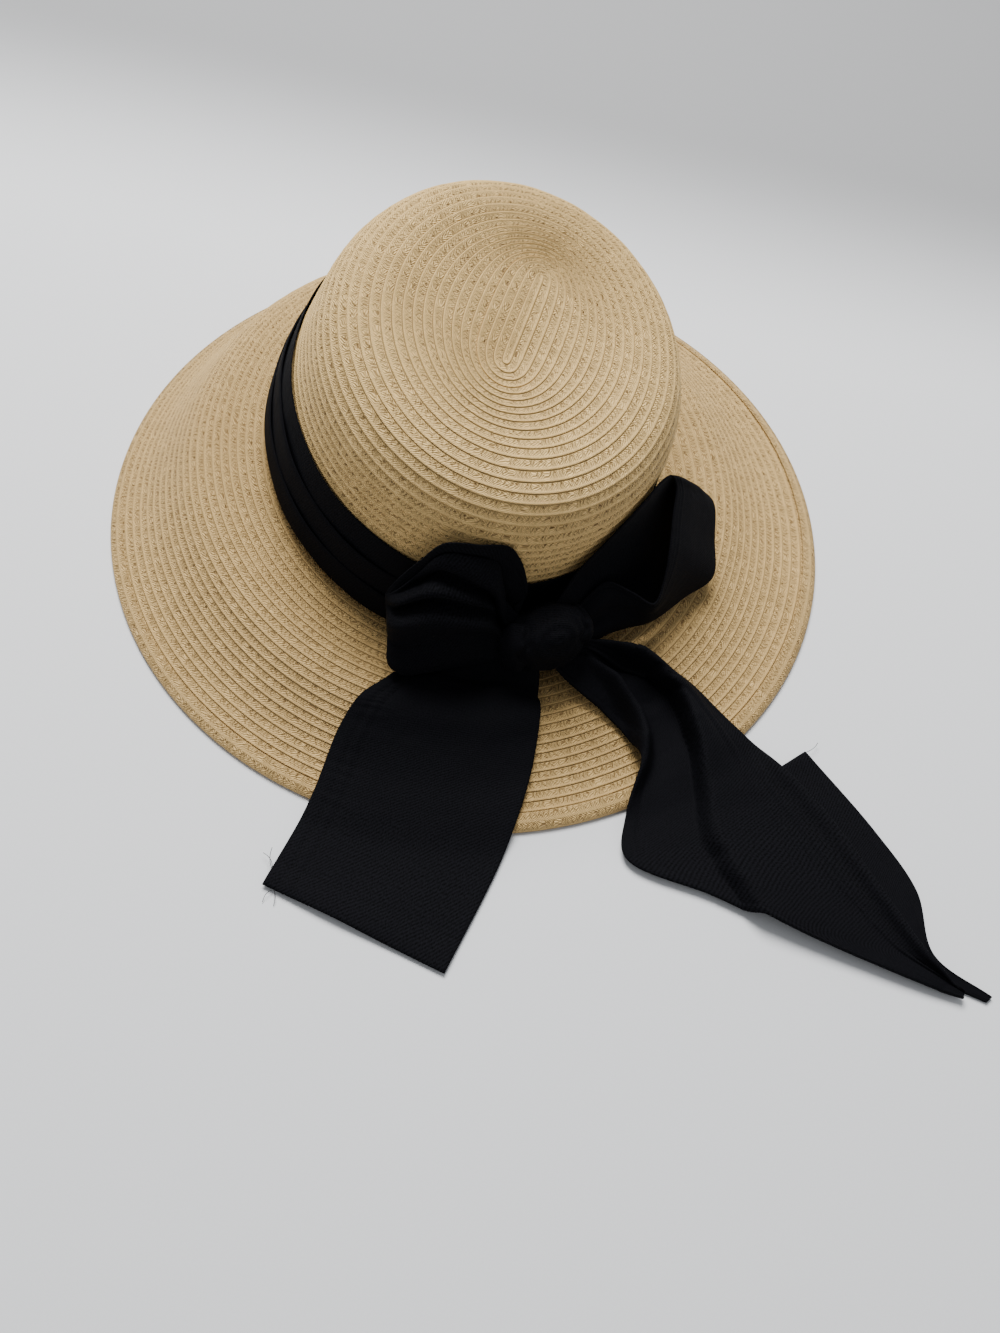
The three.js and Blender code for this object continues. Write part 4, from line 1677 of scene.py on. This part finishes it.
def loops() -> list[Loop]:
    """Returns the two loops of the bow."""
    left_upper = [
        (33, -93, 54), (37, -88, 60), (34.5, -86, 70), (30.5, -86.5, 80), (25, -89.5, 89),
        (13.5, -95.5, 91.5), (-1, -100.5, 91.5), (-10, -104, 80), (-18.5, -109, 68),
        (-22, -111.5, 60), (-17, -111.5, 65), (-9, -106, 75), (-0.5, -102, 86.5), (13.5, -97, 85),
        (22, -92.5, 80), (25, -93.5, 71), (28, -95, 61), (38, -95, 50),
    ]
    left_lower = [
        (37, -100, 42), (33, -98, 38), (28, -98, 36), (20, -99, 35), (10, -101, 35),
        (1, -103.5, 35), (-7, -107, 35), (-13.5, -112, 36), (-16, -117.5, 37),
        (-15, -123.5, 37), (-13, -129.5, 33), (-6, -130.5, 30), (4, -124.5, 29), (15, -117, 29),
        (25, -111, 29), (31, -108, 30), (36, -105, 31), (45, -98, 34),
    ]
    right_upper = [
        (50, -85, 52), (55.5, -70.5, 62), (63, -59, 72), (70, -47.5, 80), (76, -34, 84), (80, -22, 85),
        (84, -13.5, 82), (87.5, -13.5, 76), (90, -25, 69), (93, -38, 61), (95, -50, 52), (94, -60, 45),
        (82, -61.5, 50), (70, -63.5, 54), (64, -71, 50), (58, -82, 44),
    ]
    right_lower = [
        (57, -88, 32), (71, -72, 26), (87, -58.5, 23), (98, -42, 23), (104, -20, 26), (106, 2, 35),
        (104, 14, 48), (108.5, 13, 45), (114, -1, 35), (118.5, -17, 27), (108, -33, 25), (95, -54.5, 25),
        (85.5, -63, 26), (78, -71, 28), (72, -78, 28), (63, -87, 30),
    ]
    return [
        Loop("sash_loop_left", "bow_loop_left", left_upper, left_lower, left_puff, (150.0, 50.0)),
        Loop("sash_loop_right", "bow_loop_right", right_upper, right_lower, right_puff, (210.0, 48.0)),
    ]


def seams() -> list[Seams]:
    """Returns the stitching and the frayed corners of the tails."""
    left_lines = [
        ((0.40, 0.088), (0.985, 0.088)),
        ((0.40, 0.148), (0.985, 0.148)),
        ((0.962, 0.02), (0.962, 0.98)),
    ]
    left_frays = [
        ((-30, -229, 3.0), (-37, -222, 2.5), 1.4), ((-30, -229, 3.0), (-34, -219, 4.0), -1.0),
        ((-27, -237, 2.0), (-29, -243, 0.6), 0.8), ((-26, -237, 2.0), (-24, -243, 0.5), -0.5),
    ]
    right_lines = [
        ((0.30, 0.885), (0.97, 0.885)),
        ((0.30, 0.82), (0.97, 0.82)),
        ((0.30, 0.085), (0.90, 0.085)),
    ]
    end_lines = [((0.02, 0.88), (0.95, 0.88)), ((0.035, 0.1), (0.035, 0.88))]
    end_frays = [((184.5, -85, 2.0), (189, -78, 2.5), 0.8), ((165, -108, 2.0), (161, -104, 1.6), 0.4)]
    return [
        Seams("seam_left", LEFT_TAIL, left_lines, left_frays),
        Seams("seam_right", RIGHT_TAIL, right_lines),
        Seams("seam_end", RIGHT_END, end_lines, end_frays),
    ]


def main() -> None:
    """Builds the stage and every piece in order."""
    logging.basicConfig(level=logging.INFO, format="%(name)s: %(message)s")
    Stage().build()
    finishes, trees = Finishes(), Trees()
    for braid in braids():
        braid.build(trees, finishes).settle()
    BrimEdge().build(finishes).settle()
    tape = Sweatband().build(finishes).settle()
    band = HatBand().build(finishes).settle()
    Tack().build(trees, finishes).settle()
    knot = Knot().build(finishes).settle()
    for loop, length in zip(loops(), (0.13, 0.20)):
        made = loop.build(finishes).settle()
    left = LEFT_TAIL.build(finishes).settle()
    right = RIGHT_TAIL.build(finishes).settle()
    end = RIGHT_END.build(finishes).settle()
    for seam in seams():
        for piece in seam.build(trees, finishes):
            piece.settle()


if __name__ == "__main__":
    main()
